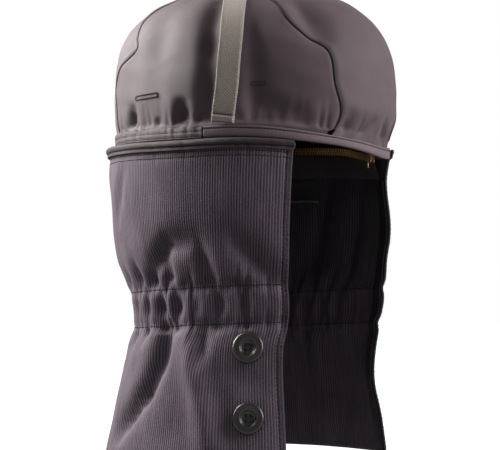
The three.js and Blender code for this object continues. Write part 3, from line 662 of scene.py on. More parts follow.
def tube(rings):
    """A closed tube through rings of places, with a middle place in each end."""
    count, sides = rings.shape[:2]
    index = np.arange(count * sides).reshape(count, sides)
    after = np.roll(index, -1, axis=1)
    faces = quads(index[:-1], after[:-1], after[1:], index[1:])
    first, last = count * sides, count * sides + 1
    faces += [[first, b, a] for a, b in zip(index[0], after[0])]
    faces += [[last, a, b] for a, b in zip(index[-1], after[-1])]
    return np.concatenate([rings.reshape(-1, 3), rings[[0, -1]].mean(axis=1)]), faces


def join(*shapes):
    points, faces, start = [], [], 0
    for shape_points, shape_faces in shapes:
        points.append(shape_points)
        faces += [[i + start for i in face] for face in shape_faces]
        start += len(shape_points)
    return np.concatenate(points), faces


def copies(shape, centres, along, out):
    """A small shape, whose places go along, across and out, set at each of many places."""
    template, template_faces = shape
    across = unit(np.cross(out, along))
    axes = np.stack([along, across, np.cross(along, across)], axis=1)
    points = centres[:, None] + np.einsum("pk,nkx->npx", template, axes)
    starts = np.arange(len(centres)) * len(template)
    faces = [[i + start for i in face] for start in starts for face in template_faces]
    return points.reshape(-1, 3), faces


def bevelled_box(size, bevel):
    mesh = bmesh.new()
    bmesh.ops.create_cube(mesh, size=1)
    bmesh.ops.scale(mesh, vec=size, verts=mesh.verts)
    bmesh.ops.bevel(mesh, geom=mesh.edges, offset=bevel, segments=1, affect="EDGES")
    mesh.verts.index_update()
    shape = np.array([v.co for v in mesh.verts]), [[v.index for v in f.verts] for f in mesh.faces]
    mesh.free()
    return shape


def thread_shape(length, radius, sides=6):
    """One stitch: a short round thread whose ends dip into the cloth."""
    turns = np.arange(sides) * 2 * np.pi / sides
    rings = []
    for share, size, lift in ((-0.5, 0.35, -0.9), (-0.32, 1, 0), (0.32, 1, 0), (0.5, 0.35, -0.9)):
        across = radius * size * np.cos(turns)
        out = radius * (size * np.sin(turns) + lift)
        rings.append(np.stack([np.full(sides, share * length), across, out], axis=-1))
    return tube(np.array(rings))


def row_runs(path, count):
    """Lengths along a path to the middles of a number of equal steps."""
    return (np.arange(count) + 0.5) * path_length(path) / count


def stitch_row(path, out, pitch, length, radius):
    """Stitches along a path."""
    runs = row_runs(path, max(1, round(path_length(path) / pitch)))
    outs = unit(at_runs(path, runs, out))
    return copies(thread_shape(length, radius), at_runs(path, runs), way_along(path, runs), outs)


def zigzag_row(path, out, pitch, width, radius):
    """A zigzag thread along a path."""
    runs = row_runs(path, int(path_length(path) / pitch))
    along = way_along(path, runs)
    outs = unit(at_runs(path, runs, out))
    across = unit(np.cross(outs, along))
    leaning = np.where(np.arange(len(runs)) % 2 == 0, 1, -1)[:, None]
    slanted = unit(along * pitch + across * width * leaning)
    return copies(thread_shape(np.hypot(pitch, width), radius), at_runs(path, runs), slanted, outs)


def cloth_weave(face):
    """Millimetres across and along a grid of places, for the weave."""
    across = np.linalg.norm(np.diff(face, axis=0, prepend=face[:1]), axis=-1).cumsum(axis=0)
    along = np.linalg.norm(np.diff(face, axis=1, prepend=face[:, :1]), axis=-1).cumsum(axis=1)
    return np.stack([across, along, np.zeros_like(along)], axis=-1).reshape(-1, 3)


def make_piece(name, shape, finish, replaces=(), weave=None, crease=50):
    """A mesh piece that rides with the object, in metres."""
    points, faces = shape
    mesh = bpy.data.meshes.new(name)
    mesh.from_pydata((points * MM).tolist(), [], faces)
    sides = bmesh.new()
    sides.from_mesh(mesh)
    if sides.calc_volume(signed=True) < 0:
        mesh.flip_normals()
    sides.free()
    if weave is None:
        weave = points
    attribute = mesh.attributes.new("weave", "FLOAT_VECTOR", "POINT")
    attribute.data.foreach_set("vector", np.ascontiguousarray(weave, np.float32).ravel())
    mesh.shade_smooth()
    mesh.set_sharp_from_angle(angle=np.radians(crease))
    mesh.materials.append(finish)
    piece = bpy.data.objects.new(name, mesh)
    bpy.context.scene.collection.objects.link(piece)
    lit_pieces.objects.link(piece)
    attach(piece, "root")
    if replaces:
        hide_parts(*replaces)
    return piece


def wall_piece(name, outer, inner, weave, finish, node, crease=50):
    """A closed cloth wall that takes a solid's place, with the same weave on both its faces."""
    return make_piece(name, wall(outer, inner), finish, [node], np.concatenate([weave, weave]), crease)


# Finishes


class Value:
    """A shader value that takes part in Python expressions: each operator adds a Math node."""

    def __init__(self, nodes, socket):
        self.nodes = nodes
        self.socket = socket

    def math(self, operation, *others):
        return self.nodes.node("Math", {"operation": operation}, dict(enumerate((self, *others))))

    def __add__(self, other):
        return self.math("ADD", other)

    __radd__ = __add__

    def __mul__(self, other):
        return self.math("MULTIPLY", other)

    __rmul__ = __mul__

    def __sub__(self, other):
        return self.math("SUBTRACT", other)

    def __rsub__(self, other):
        return self.math("MULTIPLY", -1) + other

    def sine(self):
        return self.math("SINE")

    def step_up(self, low, high):
        """0 below low, 1 above high, and a smooth step between."""
        sockets = {"Value": self, "From Min": low, "From Max": high}
        return self.nodes.node("MapRange", {"interpolation_type": "SMOOTHSTEP"}, sockets)


class Nodes:
    """A node tree that values are added to."""

    def __init__(self, tree):
        self.tree = tree

    def node(self, kind, settings, sockets, output=0):
        """Adds a node: its settings first, then the values or links of its sockets."""
        node = self.tree.nodes.new("ShaderNode" + kind)
        for name, value in settings.items():
            setattr(node, name, value)
        for name, value in sockets.items():
            self.feed(node.inputs[name], value)
        return Value(self, node.outputs[output])

    def feed(self, socket, value):
        if isinstance(value, Value):
            self.tree.links.new(value.socket, socket)
        else:
            socket.default_value = value

    def blend(self, first, second, share):
        """Two colours mixed by a share."""
        return self.node("Mix", {"data_type": "RGBA"}, {0: share, 6: first, 7: second}, output=2)


class Finish(Nodes):
    """A material made of nodes."""

    def __init__(self, name, **constants):
        self.material = bpy.data.materials.new(name)
        self.material.use_nodes = True
        super().__init__(self.material.node_tree)
        self.shader = self.tree.nodes["Principled BSDF"]
        for socket, value in constants.items():
            self.shader.inputs[socket.replace("_", " ")].default_value = value

    def weave(self):
        """The cloth's own coordinates, as a vector and as three values."""
        vector = self.node("Attribute", {"attribute_name": "weave"}, {}, output=1)
        return vector, *(self.node("SeparateXYZ", {}, {0: vector}, output=k) for k in range(3))

    def grain(self, vector, scale, detail=2.0):
        return self.node("TexNoise", {}, {"Vector": vector, "Scale": scale, "Detail": detail})

    def stretched(self, vector, scales):
        return self.node("VectorMath", {"operation": "MULTIPLY"}, {0: vector, 1: scales})

    def colour(self, value):
        self.feed(self.shader.inputs["Base Color"], value)

    def roughness(self, value):
        self.feed(self.shader.inputs["Roughness"], value)

    def bump(self, height, millimetres):
        sockets = {"Height": height, "Distance": millimetres * MM, "Strength": 1.0}
        self.feed(self.shader.inputs["Normal"], self.node("Bump", {}, sockets))


def shade(red, green, blue):
    return (red, green, blue, 1.0)


def twill_finish(name, dark, light, shine, twill_pitch=0.8):
    """Cotton twill: fine slanting lines, a fibrous grain and slightly uneven dye."""
    finish = Finish(name, Sheen_Weight=0.03, Sheen_Roughness=0.45, Specular_IOR_Level=shine)
    vector, across, along, _ = finish.weave()
    lines = ((across + along * 0.8) * (2 * np.pi / twill_pitch)).sine()
    fibres = finish.grain(vector, 1.7, 3.0)
    clouds = finish.grain(vector, 0.07, 4.0)
    finish.colour(finish.blend(dark, light, clouds * 0.9 + fibres * 0.5 + lines * 0.06 - 0.2))
    finish.roughness(fibres * 0.2 + 0.55)
    finish.bump(lines * 0.35 + fibres, 0.12)
    return finish.material


def ribbed_finish(name, dark, light):
    """Ribbed cloth: weave holds a count of ribs, the height and how far in from a front edge it is. Rib
    valleys are painted darker and rib tops lighter, as painted shade, and the cloth is painted darker near a
    front edge, as painted shade of its roll.
    """
    finish = Finish(name, Sheen_Weight=0.02, Sheen_Roughness=0.4, Specular_IOR_Level=0.08)
    vector, rib, height, from_edge = finish.weave()
    # painted shade: the colour darkens in each rib's valley and lightens on its top, on top of the ribs'
    # real relief
    valley = ((rib + 0.25) * (2 * np.pi)).sine() * 0.5 + 0.5
    stagger = rib.math("FLOOR").math("MODULO", 2)
    dashes = (height * (2 * np.pi / 1.5) + stagger * np.pi).sine()
    fibres = finish.grain(finish.stretched(vector, (2.5, 1.2, 1.0)), 1.0, 3.0)
    clouds = finish.grain(finish.stretched(vector, (0.12, 0.05, 0.05)), 1.0, 4.0)
    streaks = finish.grain(finish.stretched(vector, (0.9, 0.03, 0.0)), 1.0, 2.0)
    ridge = 1 - valley
    share = ridge * 0.6 + fibres * 0.45 + clouds * 0.4 + streaks * 0.5 + dashes * 0.03 - 0.55
    # painted shade: the colour darkens towards a front edge, for the shade of its roll
    finish.colour(finish.blend(dark, light, share * (from_edge.step_up(1.2, 4.0) * 0.85 + 0.15)))
    finish.roughness(fibres * 0.2 + 0.65)
    finish.bump(dashes * 0.15 + fibres * 0.8, 0.12)
    return finish.material


def webbing_finish():
    """Woven webbing: crossing slants of coarse threads, broken up by loose fibres."""
    finish = Finish("webbing", Sheen_Weight=0.05, Sheen_Roughness=0.5, Specular_IOR_Level=0.2)
    vector, along, across, _ = finish.weave()
    threads = ((along + across * 0.8) * (2 * np.pi / 1.7)).sine()
    picks = ((along - across * 0.8) * (2 * np.pi / 1.7)).sine()
    fibres = finish.grain(vector, 1.2, 3.0)
    share = threads * picks * 0.3 + threads * 0.15 + fibres * 1.3 - 0.25
    finish.colour(finish.blend(shade(0.075, 0.065, 0.056), shade(0.25, 0.218, 0.19), share))
    finish.roughness(fibres * 0.2 + 0.6)
    finish.bump(threads * 0.7 + fibres * 0.5, 0.2)
    return finish.material


def thread_finish(name, dark, light):
    """Twisted sewing thread."""
    finish = Finish(name, Specular_IOR_Level=0.1)
    vector = finish.weave()[0]
    twist = finish.grain(vector, 2.4, 2.0)
    finish.colour(finish.blend(dark, light, twist))
    finish.roughness(twist * 0.3 + 0.5)
    finish.bump(twist, 0.1)
    return finish.material


def tape_finish(name, dark, light, pitch):
    """Plain woven tape."""
    finish = Finish(name, Sheen_Weight=0.08, Specular_IOR_Level=0.3)
    vector, across, along, _ = finish.weave()
    warp = (across * (2 * np.pi / pitch)).sine()
    weft = (along * (2 * np.pi / pitch)).sine()
    fibres = finish.grain(vector, 1.5, 3.0)
    finish.colour(finish.blend(dark, light, warp * weft * 0.2 + fibres))
    finish.roughness(fibres * 0.2 + 0.65)
    finish.bump(warp * weft * 0.5 + fibres, 0.1)
    return finish.material


def label_finish():
    """Smooth plain label cloth with a paler folded lower edge."""
    finish = Finish("label_cloth", Sheen_Weight=0.1, Specular_IOR_Level=0.4)
    vector, _, along, _ = finish.weave()
    fold = along.step_up(LABEL["height"] - 1.2, LABEL["height"] - 0.6)
    fibres = finish.grain(finish.stretched(vector, (0.6, 3.0, 1.0)), 1.0, 2.0)
    plain = finish.blend(shade(0.012, 0.012, 0.014), shade(0.022, 0.022, 0.025), fibres)
    finish.colour(finish.blend(plain, shade(0.2, 0.2, 0.2), fold))
    finish.roughness(fibres * 0.2 + 0.5)
    finish.bump(fibres, 0.08)
    return finish.material


def brass_finish(name, bright, dark):
    """Dulled brass with darker, rougher hollows."""
    finish = Finish(name, Metallic=1.0)
    vector = finish.weave()[0]
    dull = finish.grain(vector, 0.9, 4.0)
    finish.colour(finish.blend(bright, dark, dull))
    finish.roughness(dull * 0.35 + 0.2)
    finish.bump(finish.grain(vector, 3.0, 2.0), 0.04)
    return finish.material


def button_finish():
    """Moulded plastic with a soft gloss and faint swirls."""
    finish = Finish("button_plastic", Specular_IOR_Level=0.3)
    vector = finish.weave()[0]
    swirl = finish.grain(vector, 0.25, 4.0)
    scuffs = finish.grain(vector, 1.6, 3.0)
    finish.colour(finish.blend(shade(0.0036, 0.0028, 0.0023), shade(0.0085, 0.0068, 0.0058), swirl))
    finish.roughness(scuffs * 0.15 + 0.27)
    finish.bump(scuffs, 0.03)
    return finish.material


def floor_finish():
    """A pale floor with a faint unevenness."""
    finish = Finish("pale_floor", Roughness=0.8, Emission_Color=shade(1, 1, 1), Emission_Strength=0.8)
    patches = finish.grain(finish.weave()[0], 0.02)
    finish.colour(finish.blend(shade(0.86, 0.86, 0.86), shade(0.9, 0.9, 0.9), patches))
    return finish.material


TWILL_CLOTH = twill_finish("twill", shade(0.0285, 0.0195, 0.0222), shade(0.0465, 0.0318, 0.0362), 0.19)
# painted light: the band is the cap's twill in a lighter copy, for the light that falls on its face
LIT_BAND_TWILL = twill_finish("band_twill_painted_light", shade(0.0405, 0.0278, 0.0315), shade(0.0655, 0.045, 0.051), 0.25)
BINDING_TWILL = twill_finish(
    "binding_twill", shade(0.016, 0.0109, 0.0126), shade(0.0265, 0.0181, 0.0208), 0.12
)
RIBBED_CLOTH = ribbed_finish("ribbed_cloth", shade(0.016, 0.0125, 0.016), shade(0.1, 0.079, 0.0995))
# painted shade: the facings are the curtain's ribbed cloth in a darker copy, for the shade inside the
# curtain; their weave holds no distance from an edge, so the ribbed finish's edge darkening also darkens
# them throughout
SHADED_FACING_CLOTH = ribbed_finish("facing_cloth_painted_shade", shade(0.01, 0.0085, 0.0105), shade(0.06, 0.05, 0.06))
WEBBING = webbing_finish()
PIPING_CLOTH = thread_finish("black_piping", shade(0.004, 0.0035, 0.004), shade(0.009, 0.008, 0.009))
DARK_THREAD = thread_finish("dark_thread", shade(0.004, 0.0035, 0.004), shade(0.011, 0.0095, 0.011))
GREY_THREAD = thread_finish("grey_thread", shade(0.022, 0.0195, 0.022), shade(0.055, 0.048, 0.055))
OLIVE_THREAD = thread_finish("olive_thread", shade(0.14, 0.135, 0.11), shade(0.24, 0.23, 0.19))
ZIP_TAPE = tape_finish("zip_tape", shade(0.008, 0.006, 0.006), shade(0.022, 0.016, 0.015), 0.9)
LABEL_CLOTH = label_finish()
# painted shade: the teeth's brass is a darker copy of the slider's, for the shade that the chain sits in
# inside the cap
SHADED_TOOTH_BRASS = brass_finish("zip_tooth_brass_painted_shade", shade(0.38, 0.215, 0.07), shade(0.1, 0.056, 0.024))
SLIDER_BRASS = brass_finish("zip_slider_brass", shade(0.62, 0.4, 0.14), shade(0.24, 0.14, 0.05))
BUTTON_PLASTIC = button_finish()


# The cap's panels, their piping and the strap


def beside(seam, toward):
    """Places a clearance away from the seam's, on the side that other places lie on."""
    out = unit(seam - crown_heart(seam))
    across = unit(np.cross(along_of(seam), out))
    side = np.sign(np.sum(across * (toward - seam), axis=-1, keepdims=True))
    return seam + across * side * SEAM_CLEARANCE


def side_panel_guides(columns, rows, hand):
    """From the seam's arch to the band's top, and on behind the band to the rim."""
    seam = evenly(seam_above, columns)
    clear_turn = np.degrees(RIM_SEAM_CLEARANCE / CROWN["side"])
    bearing = np.linspace(SEAM["bearing"][0] + clear_turn, SEAM["bearing"][-1] - clear_turn, columns)
    rim_level = rim_height(hand * bearing)
    band_top = on_crown(bearing, rim_level + HEM["height"])
    rim = on_crown(bearing, rim_level + RIM["cap_overlap"])
    down = np.linspace(0, 1, rows)[None, :, None] ** 1.2
    guides = mix(beside(seam, rim)[:, None], band_top[:, None], down)
    guides = np.concatenate([guides, rim[:, None]], axis=1)
    return guides if hand > 0 else mirrored(guides)


def centre_panel_guides(columns, rows):
    """Between the two seams, from the forehead over the top to the nape."""
    seam = np.vstack([seam_line[:1], evenly(seam_above, columns - 2), seam_line[-1:]])
    right = beside(seam, mirrored(seam))
    guides = mix(right[:, None], mirrored(right)[:, None], dense_ends(rows)[None, :, None])
    lowest = rim_height(bearing_of(guides)) + RIM["cap_overlap"]
    guides[..., 2] = np.maximum(guides[..., 2], lowest)
    return guides


def crown_weave(face, axis):
    """Millimetres along a level axis and round the crown over it, for the weave."""
    turn = np.arctan2(face[..., 1 - axis], face[..., 2] - CROWN["widest"])
    return np.stack([face[..., axis], turn * CROWN["side"], np.zeros_like(turn)], axis=-1).reshape(-1, 3)


def crown_panel(name, guides, weave_axis):
    outer, out = cap_cloth(guides)
    away = to_seam(guides)
    dip = SEAM_DIP["depth"] * bell(away, SEAM_DIP["width"])
    puff = SEAM_DIP["puff"] * bell(away - SEAM_DIP["puff_at"], SEAM_DIP["puff_width"])
    outer = outer - out * (dip - puff)[..., None]
    weave = crown_weave(outer, weave_axis)
    return wall_piece(f"{name}_cloth", outer, outer - out * TWILL, weave, TWILL_CLOTH, name)


def seam_piping(side, hand):
    centres = evenly(seam_above, PIPING["stations"])
    if hand < 0:
        centres = mirrored(centres)
    surface, way_out = cap_cloth(centres)
    middle = surface - way_out * PIPING["sunk"]
    along = along_of(middle)
    across = unit(np.cross(along, way_out))
    out = np.cross(across, along)
    turns = (np.arange(PIPING["sides"]) * 2 * np.pi / PIPING["sides"])[None, :, None]
    ways = across[:, None] * np.cos(turns) + out[:, None] * np.sin(turns)
    rings = middle[:, None] + PIPING["radius"] * ways
    make_piece(f"seam_piping_{side}_cord", tube(rings), PIPING_CLOTH, [f"seam_piping_{side}"])


def strap_lines(runs):
    """The strap's middle line just over the cap at runs from its middle, and the ways forward and out."""
    turn = np.clip(runs / CROWN["side"], -np.pi / 2, np.pi / 2)
    hang = np.maximum(0, np.abs(runs) - CROWN["side"] * np.pi / 2)
    height = CROWN["widest"] + CROWN["side"] * np.cos(turn) - hang
    forward = curve_at(STRAP_ROWS["run"], STRAP_ROWS["forward"], np.abs(runs))
    middle, way_out = through_crown(np.stack([CROWN["side"] * np.sin(turn), -forward, height], axis=-1))
    along = along_of(middle)
    fore = through_crown(middle + [0, -2, 0])[0] - middle
    fore = unit(fore - along * np.sum(fore * along, axis=-1, keepdims=True))
    out = np.cross(along, fore)
    out *= np.sign(np.sum(out * way_out, axis=-1, keepdims=True))
    over_piping = bell(to_seam(middle), 2 * PIPING["radius"] + STRAP["width"] / 2)
    lift = STRAP["lift"] + PIPING["radius"] * over_piping
    return middle + out * lift[:, None], fore, out


def crown_strap():
    """The webbing strap, with a doubled flap sewn down at each end."""
    runs = np.linspace(-STRAP["end_run"], STRAP["end_run"], STRAP["steps"])
    middle, fore, out = strap_lines(runs)
    share = dense_ends(STRAP["strands"]) - 0.5
    from_end = (STRAP["end_run"] - np.abs(runs))[:, None]
    from_edge = STRAP["width"] * (0.5 - np.abs(share))[None, :]
    full = smooth(from_edge / STRAP["edge_round"])
    thickness = STRAP["thickness"] * mix(STRAP["edge_share"], 1, full)
    doubled = STRAP["flap_rise"] * full * smooth((STRAP["flap"] - from_end) / STRAP["flap_step"] + 0.5)
    sewn_at = STRAP["flap"] + STRAP["groove_behind"]
    groove = STRAP["groove"] * bell(from_end - sewn_at, STRAP["groove_width"])
    rounded = mix(STRAP["end_share"], 1, smooth(from_end / STRAP["end_round"]))
    bottom = middle[:, None] + fore[:, None] * (share * STRAP["width"])[None, :, None]
    top = bottom + out[:, None] * ((thickness + doubled - groove) * rounded)[..., None]
    weave = cloth_weave(top)
    piece = wall_piece("crown_strap_webbing", top, bottom, weave, WEBBING, "crown_strap")
    face = middle + out * STRAP["thickness"]
    edges = []
    for edge in (-1, 1):
        path = face + fore * edge * (STRAP["width"] / 2 - STRAP["selvedge"])
        edges.append(zigzag_row(path, out, *ZIGZAGS["selvedge"]))
    make_piece("strap_selvedge_thread", join(*edges), OLIVE_THREAD)
    rows = []
    for end in (-1, 1):
        at = np.argmin(np.abs(runs - end * (STRAP["end_run"] - sewn_at)))
        across = np.linspace(-0.44, 0.44, 12)[:, None] * STRAP["width"] * fore[at]
        path = face[at] - out[at] * STRAP["groove"] / 2 + across
        rows.append(stitch_row(path, np.repeat(out[at : at + 1], 12, axis=0), *STITCHES["strap_end"]))
    make_piece("strap_end_stitches", join(*rows), DARK_THREAD)


def cap_slot_stitches():
    """Small stitched slots: a close double row of stitches round each."""
    rows = []
    for bearing, height, tilt, length, width, radius in zip(*SLOTS.values()):
        lean = np.radians(tilt)
        corners = np.array([(-1, -1, 0), (1, -1, 0), (1, 1, 0), (-1, 1, 0), (-1, -1, 0)])
        outline = evenly(corners * (length / 2, width / 2, 0), 60)
        ahead = outline[:, 0] * np.cos(lean) - outline[:, 1] * np.sin(lean)
        upward = outline[:, 0] * np.sin(lean) + outline[:, 1] * np.cos(lean)
        turn = bearing - np.degrees(ahead / crown_radius(bearing, height))
        for hand in (1, -1):
            path, out = cap_cloth(on_crown(hand * turn, height + upward))
            lifted = path + out * SLOT_STITCH["lift"]
            rows.append(stitch_row(lifted, out, SLOT_STITCH["pitch"], SLOT_STITCH["length"], radius))
    make_piece("cap_slot_stitches", join(*rows), DARK_THREAD)


# Strips round the rim


def strip_section(height, thickness, power, count, sunk=0.0):
    """A strip's closed section: heights up it, and how far out of its back, which may be sunk."""
    share = (1 - np.cos(np.linspace(0, np.pi, count))) / 2
    half = thickness / 2 * (1 - np.abs(2 * share - 1) ** power) ** 0.5
    up = np.concatenate([share, share[-2:0:-1]]) * height
    out = thickness / 2 + np.concatenate([half, -half[-2:0:-1] - sunk])
    return up, out


def rim_rings(bearings, up, out, base, level=rim_height):
    """Rings round the rim: heights up from a level, and distances out from a base radius."""
    bearing = bearings[:, None]
    height = level(bearing) + up
    return place(bearing, base(bearing, height) + out, height)


def round_ends(rings, reach):
    """Draws in a tube's rings near its two ends."""
    middle = rings.mean(axis=1, keepdims=True)
    run = reached(middle[:, 0])
    size = quarter_round(np.minimum(run, run[-1] - run) / reach)
    return middle + (rings - middle) * size[:, None, None]


def cap_base(bearing, height):
    return crown_radius(bearing, height) + BAND["stand_off"]


def strip_piece(name, rings, finish, node):
    weave = cloth_weave(rings)
    ends = weave.reshape(*rings.shape)[[0, -1]].mean(axis=1)
    return make_piece(name, tube(rings), finish, [node], np.concatenate([weave, ends]))


def front_band():
    """A raised band with square ends, a stitched groove near its top edge and a thin welt above it."""
    columns, *section = STRIP_MESH["band"]
    bearings = mix(BAND["end_bearing"], -BAND["end_bearing"], dense_ends(columns))
    up, out = strip_section(BAND["height"], BAND["thickness"], *section, SEWN_DEPTH)
    outer_side = out > BAND["thickness"] / 2
    groove_up = BAND["height"] - BAND_GROOVE["down"]
    groove = BAND_GROOVE["depth"] * bell(up - groove_up, BAND_GROOVE["width"]) * outer_side
    belly = BAND_BELLY["depth"] * bell(up - BAND_BELLY["up"], BAND_BELLY["width"]) * outer_side
    narrowed = bell(bearings - BAND_NARROWING["bearing"], BAND_NARROWING["width"])[:, None]
    tall = 1 - BAND_NARROWING["share"] * narrowed
    rings = round_ends(rim_rings(bearings, up * tall, out - groove + belly, cap_base), BAND["end_round"])
    strip_piece("rim_band_front_cloth", rings, LIT_BAND_TWILL, "rim_band_front")
    stitched_out = BAND["thickness"] - BAND_GROOVE["stitch_depth"]
    path = rim_rings(bearings, groove_up * tall, stitched_out, cap_base)[:, 0]
    rows = [stitch_row(path, outward(bearings), *STITCHES["band"])]
    heights = np.linspace(1.0, BAND["height"] - 1.2, 10)
    for end in (0, -1):
        turn = bearings[end] - np.sign(bearings[end])
        level = rim_height(turn)
        path = place(turn, cap_base(turn, level) + BAND["thickness"] + 0.05, level + heights)
        rows.append(stitch_row(path, np.repeat([outward(turn)], 10, 0), *STITCHES["band_end"]))
    make_piece("rim_band_stitches", join(*rows), DARK_THREAD)


def back_hem():
    """The flat hem round the back, puckered by its two rows of stitches."""
    columns, *section = STRIP_MESH["hem"]
    start = BAND["end_bearing"] + HEM["end_turn"]
    bearings = mix(start, 360 - start, np.linspace(0, 1, columns))
    up, out = strip_section(HEM["height"], HEM["thickness"], *section, SEWN_DEPTH)
    outer_side = out > HEM["thickness"] / 2
    ripple = HEM["ripple"] * pucker_depth(bearings, np.full_like(bearings, PUCKERS["fade"]))[:, None]
    wave = ripple * bell(up - HEM["height"], HEM["ripple_reach"])
    for row in HEM_ROWS["heights"]:
        wave = wave + HEM_ROWS["depth"] * bell(up - row, HEM_ROWS["width"])
    rings = round_ends(rim_rings(bearings, up, out - wave * outer_side, cap_base), HEM["end_round"])
    strip_piece("rim_hem_back_cloth", rings, TWILL_CLOTH, "rim_hem_back")
    rows = []
    for row in HEM_ROWS["heights"]:
        inset = ripple * bell(row - HEM["height"], HEM["ripple_reach"]) + HEM_ROWS["stitch_depth"]
        path = rim_rings(bearings, row, HEM["thickness"] - inset, cap_base)[:, 0]
        rows.append(stitch_row(path, outward(bearings), *STITCHES["hem"]))
    make_piece("rim_hem_stitches", join(*rows), DARK_THREAD)


# The zip


TOP_EDGE = CURTAIN["edge"][0]
SLIDER_TURN = np.degrees(SLIDER["size"][0] / rim_radius(TOP_EDGE))
ZIP_FROM = TOP_EDGE + ZIP["end_turn"]
ZIP_TO = 360 - TOP_EDGE - SLIDER_TURN - ZIP["end_turn"]


def zip_lift(bearing):
    """From its two ends the zip climbs inside the cap."""
    return ZIP["lift"] * smooth(np.minimum(bearing - ZIP_FROM, ZIP_TO - bearing) / ZIP["lift_turn"])


def zip_tape(level, bottom, top, base, lifted_from):
    """A tape between two heights, lifted with the teeth above a height."""
    columns, *section = STRIP_MESH["tape"]
    bearings = np.linspace(ZIP_FROM, ZIP_TO, columns)
    up, out = strip_section(top - bottom, TAPE, *section)
    up = up + bottom
    lifted = np.clip((up - lifted_from) / (top - lifted_from), 0, 1)
    rings = rim_rings(bearings, up + zip_lift(bearings)[:, None] * lifted, out - TAPE, base)
    return strip_piece(f"zip_tape_{level}_cloth", rings, ZIP_TAPE, f"zip_tape_{level}")


def upper_tape_base(bearing, height):
    return crown_radius(bearing, height) - TWILL - 5 * GAP


def lower_tape_base(bearing, height):
    """Hangs from the teeth, and below the rim leans out to the curtain's inner face."""
    share = np.clip((height - rim_height(bearing)) / ZIP["lower_tape_bottom"], 0, 1)
    sewn = curtain_radius(bearing, height) - RIBBED - 2 * GAP
    return mix(rim_radius(bearing) + ZIP["chain_out"], sewn, share)


def zip_teeth():
    """Two rows of interleaved teeth, each clamped on a cord."""
    bearings = np.linspace(ZIP_FROM, ZIP_TO, 900)
    out_by = ZIP["chain_out"] - ZIP["chain_thickness"] / 2
    along_size, tall, deep = ZIP["tooth"]
    tooth = bevelled_box((along_size, tall, deep), 0.28)
    half = tall / 2
    rows = []
    for middle, shift in ((ZIP["chain_top"] - half - 0.1, 0.0), (ZIP["chain_bottom"] + half + 0.1, 0.5)):
        level = rim_height(bearings) + zip_lift(bearings) + middle
        path = place(bearings, rim_radius(bearings) + out_by, level)
        count = int(path_length(path) / ZIP["tooth_pitch"])
        runs = (np.arange(count) + 0.25 + shift) * ZIP["tooth_pitch"]
        centres = at_runs(path, runs)
        rows.append(copies(tooth, centres, way_along(path, runs), outward(bearing_of(centres))))
    make_piece("zip_chain_teeth", join(*rows), SHADED_TOOTH_BRASS, ["zip_chain"], crease=25)


def zip_slider():
    """A body of two plates joined by a bridge, with a lug and a short pull on its inner side."""
    along_size, tall, deep = SLIDER["size"]
    bearing = 360 - TOP_EDGE - SLIDER_TURN / 2 - 0.1
    middle = (ZIP["chain_top"] + ZIP["chain_bottom"]) / 2
    radius = rim_radius(bearing) + SLIDER["out"] - deep / 2
    centre = place(bearing, radius, rim_height(bearing) + middle)
    out = outward(bearing)
    along = unit(np.cross([0, 0, 1], out))

    def set_in_place(shape, up, outer):
        spot = centre + [0, 0, up] + out * outer
        return copies(shape, spot[None], along[None], out[None])

    plate = bevelled_box((along_size, tall, SLIDER["plate"]), 0.4)
    bridge = bevelled_box((*SLIDER["bridge"], deep - SLIDER["plate"]), 0.2)
    lug = bevelled_box(SLIDER["lug"], 0.3)
    plate_out = (deep - SLIDER["plate"]) / 2
    body = [set_in_place(plate, 0, plate_out), set_in_place(plate, 0, -plate_out)]
    body += [set_in_place(bridge, 0, 0), set_in_place(lug, SLIDER["lug_up"], -deep / 2)]
    make_piece("zip_slider_body", join(*body), SLIDER_BRASS, ["zip_slider"], crease=25)
    pull = bevelled_box(SLIDER["pull"], 0.3)
    shape = set_in_place(pull, -SLIDER["pull_down"], -deep / 2 - SLIDER["pull_behind"])
    make_piece("zip_slider_pull", shape, SLIDER_BRASS, crease=25)


# The curtain


def smooth_curtain(bearing, height):
    halves = [curve_at(CURTAIN["height"], CURTAIN[name], height) for name in ("side", "front", "back")]
    return plan_radius(*halves, bearing)


def on_smooth_curtain(bearing, height):
    return place(bearing, smooth_curtain(bearing, height), height)


def front_edge(height):
    return curve_at(CURTAIN["height"], CURTAIN["edge"], height)


curtain_folds = fold_lines(CURTAIN_FOLDS, on_smooth_curtain)
curtain_tucks = random_rows(11, TUCKS)
curtain_waves = soft_waves(13, 14, 18, 70)
edge_waves = soft_waves(19, 10, 5, 22)


def pleat_share(up, down, height):
    """How much of a pleat's depth shows: full between the stitch rows, less on them, fading beyond."""
    middle = (WAIST["upper"] + WAIST["lower"]) / 2
    half_waist = (WAIST["upper"] - WAIST["lower"]) / 2
    away = np.abs(height - middle)
    within = mix(PLEAT_ON_ROW, 1, smooth(1 - away / half_waist))
    run = np.where(height > middle, up, down)
    beyond = (away - half_waist) / run
    opening = mix(PLEAT_ON_ROW, 1, smooth(beyond / PLEAT_PEAK) * smooth(run / PLEAT_FULL_RUN))
    fading = opening * (1 - smooth((beyond - PLEAT_PEAK) / (1 - PLEAT_PEAK)))
    return np.where(away <= half_waist, within, fading)


def pleat_depth(bearing, height):
    depth = 0
    jog = PLEAT_JOG["turn"] * smooth((height - WAIST["upper"]) / PLEAT_JOG["reach"] + 0.5)
    for middle, width, deep, up, down in zip(*PLEATS.values()):
        across = bell(turn_between(bearing, middle + jog), width)
        depth = depth + deep * pleat_share(up, down, height) * across
    return depth


def waist_tilt(bearing):
    """How much higher the waist's rows are in front."""
    return WAIST["tilt"] * np.cos(np.radians(bearing))


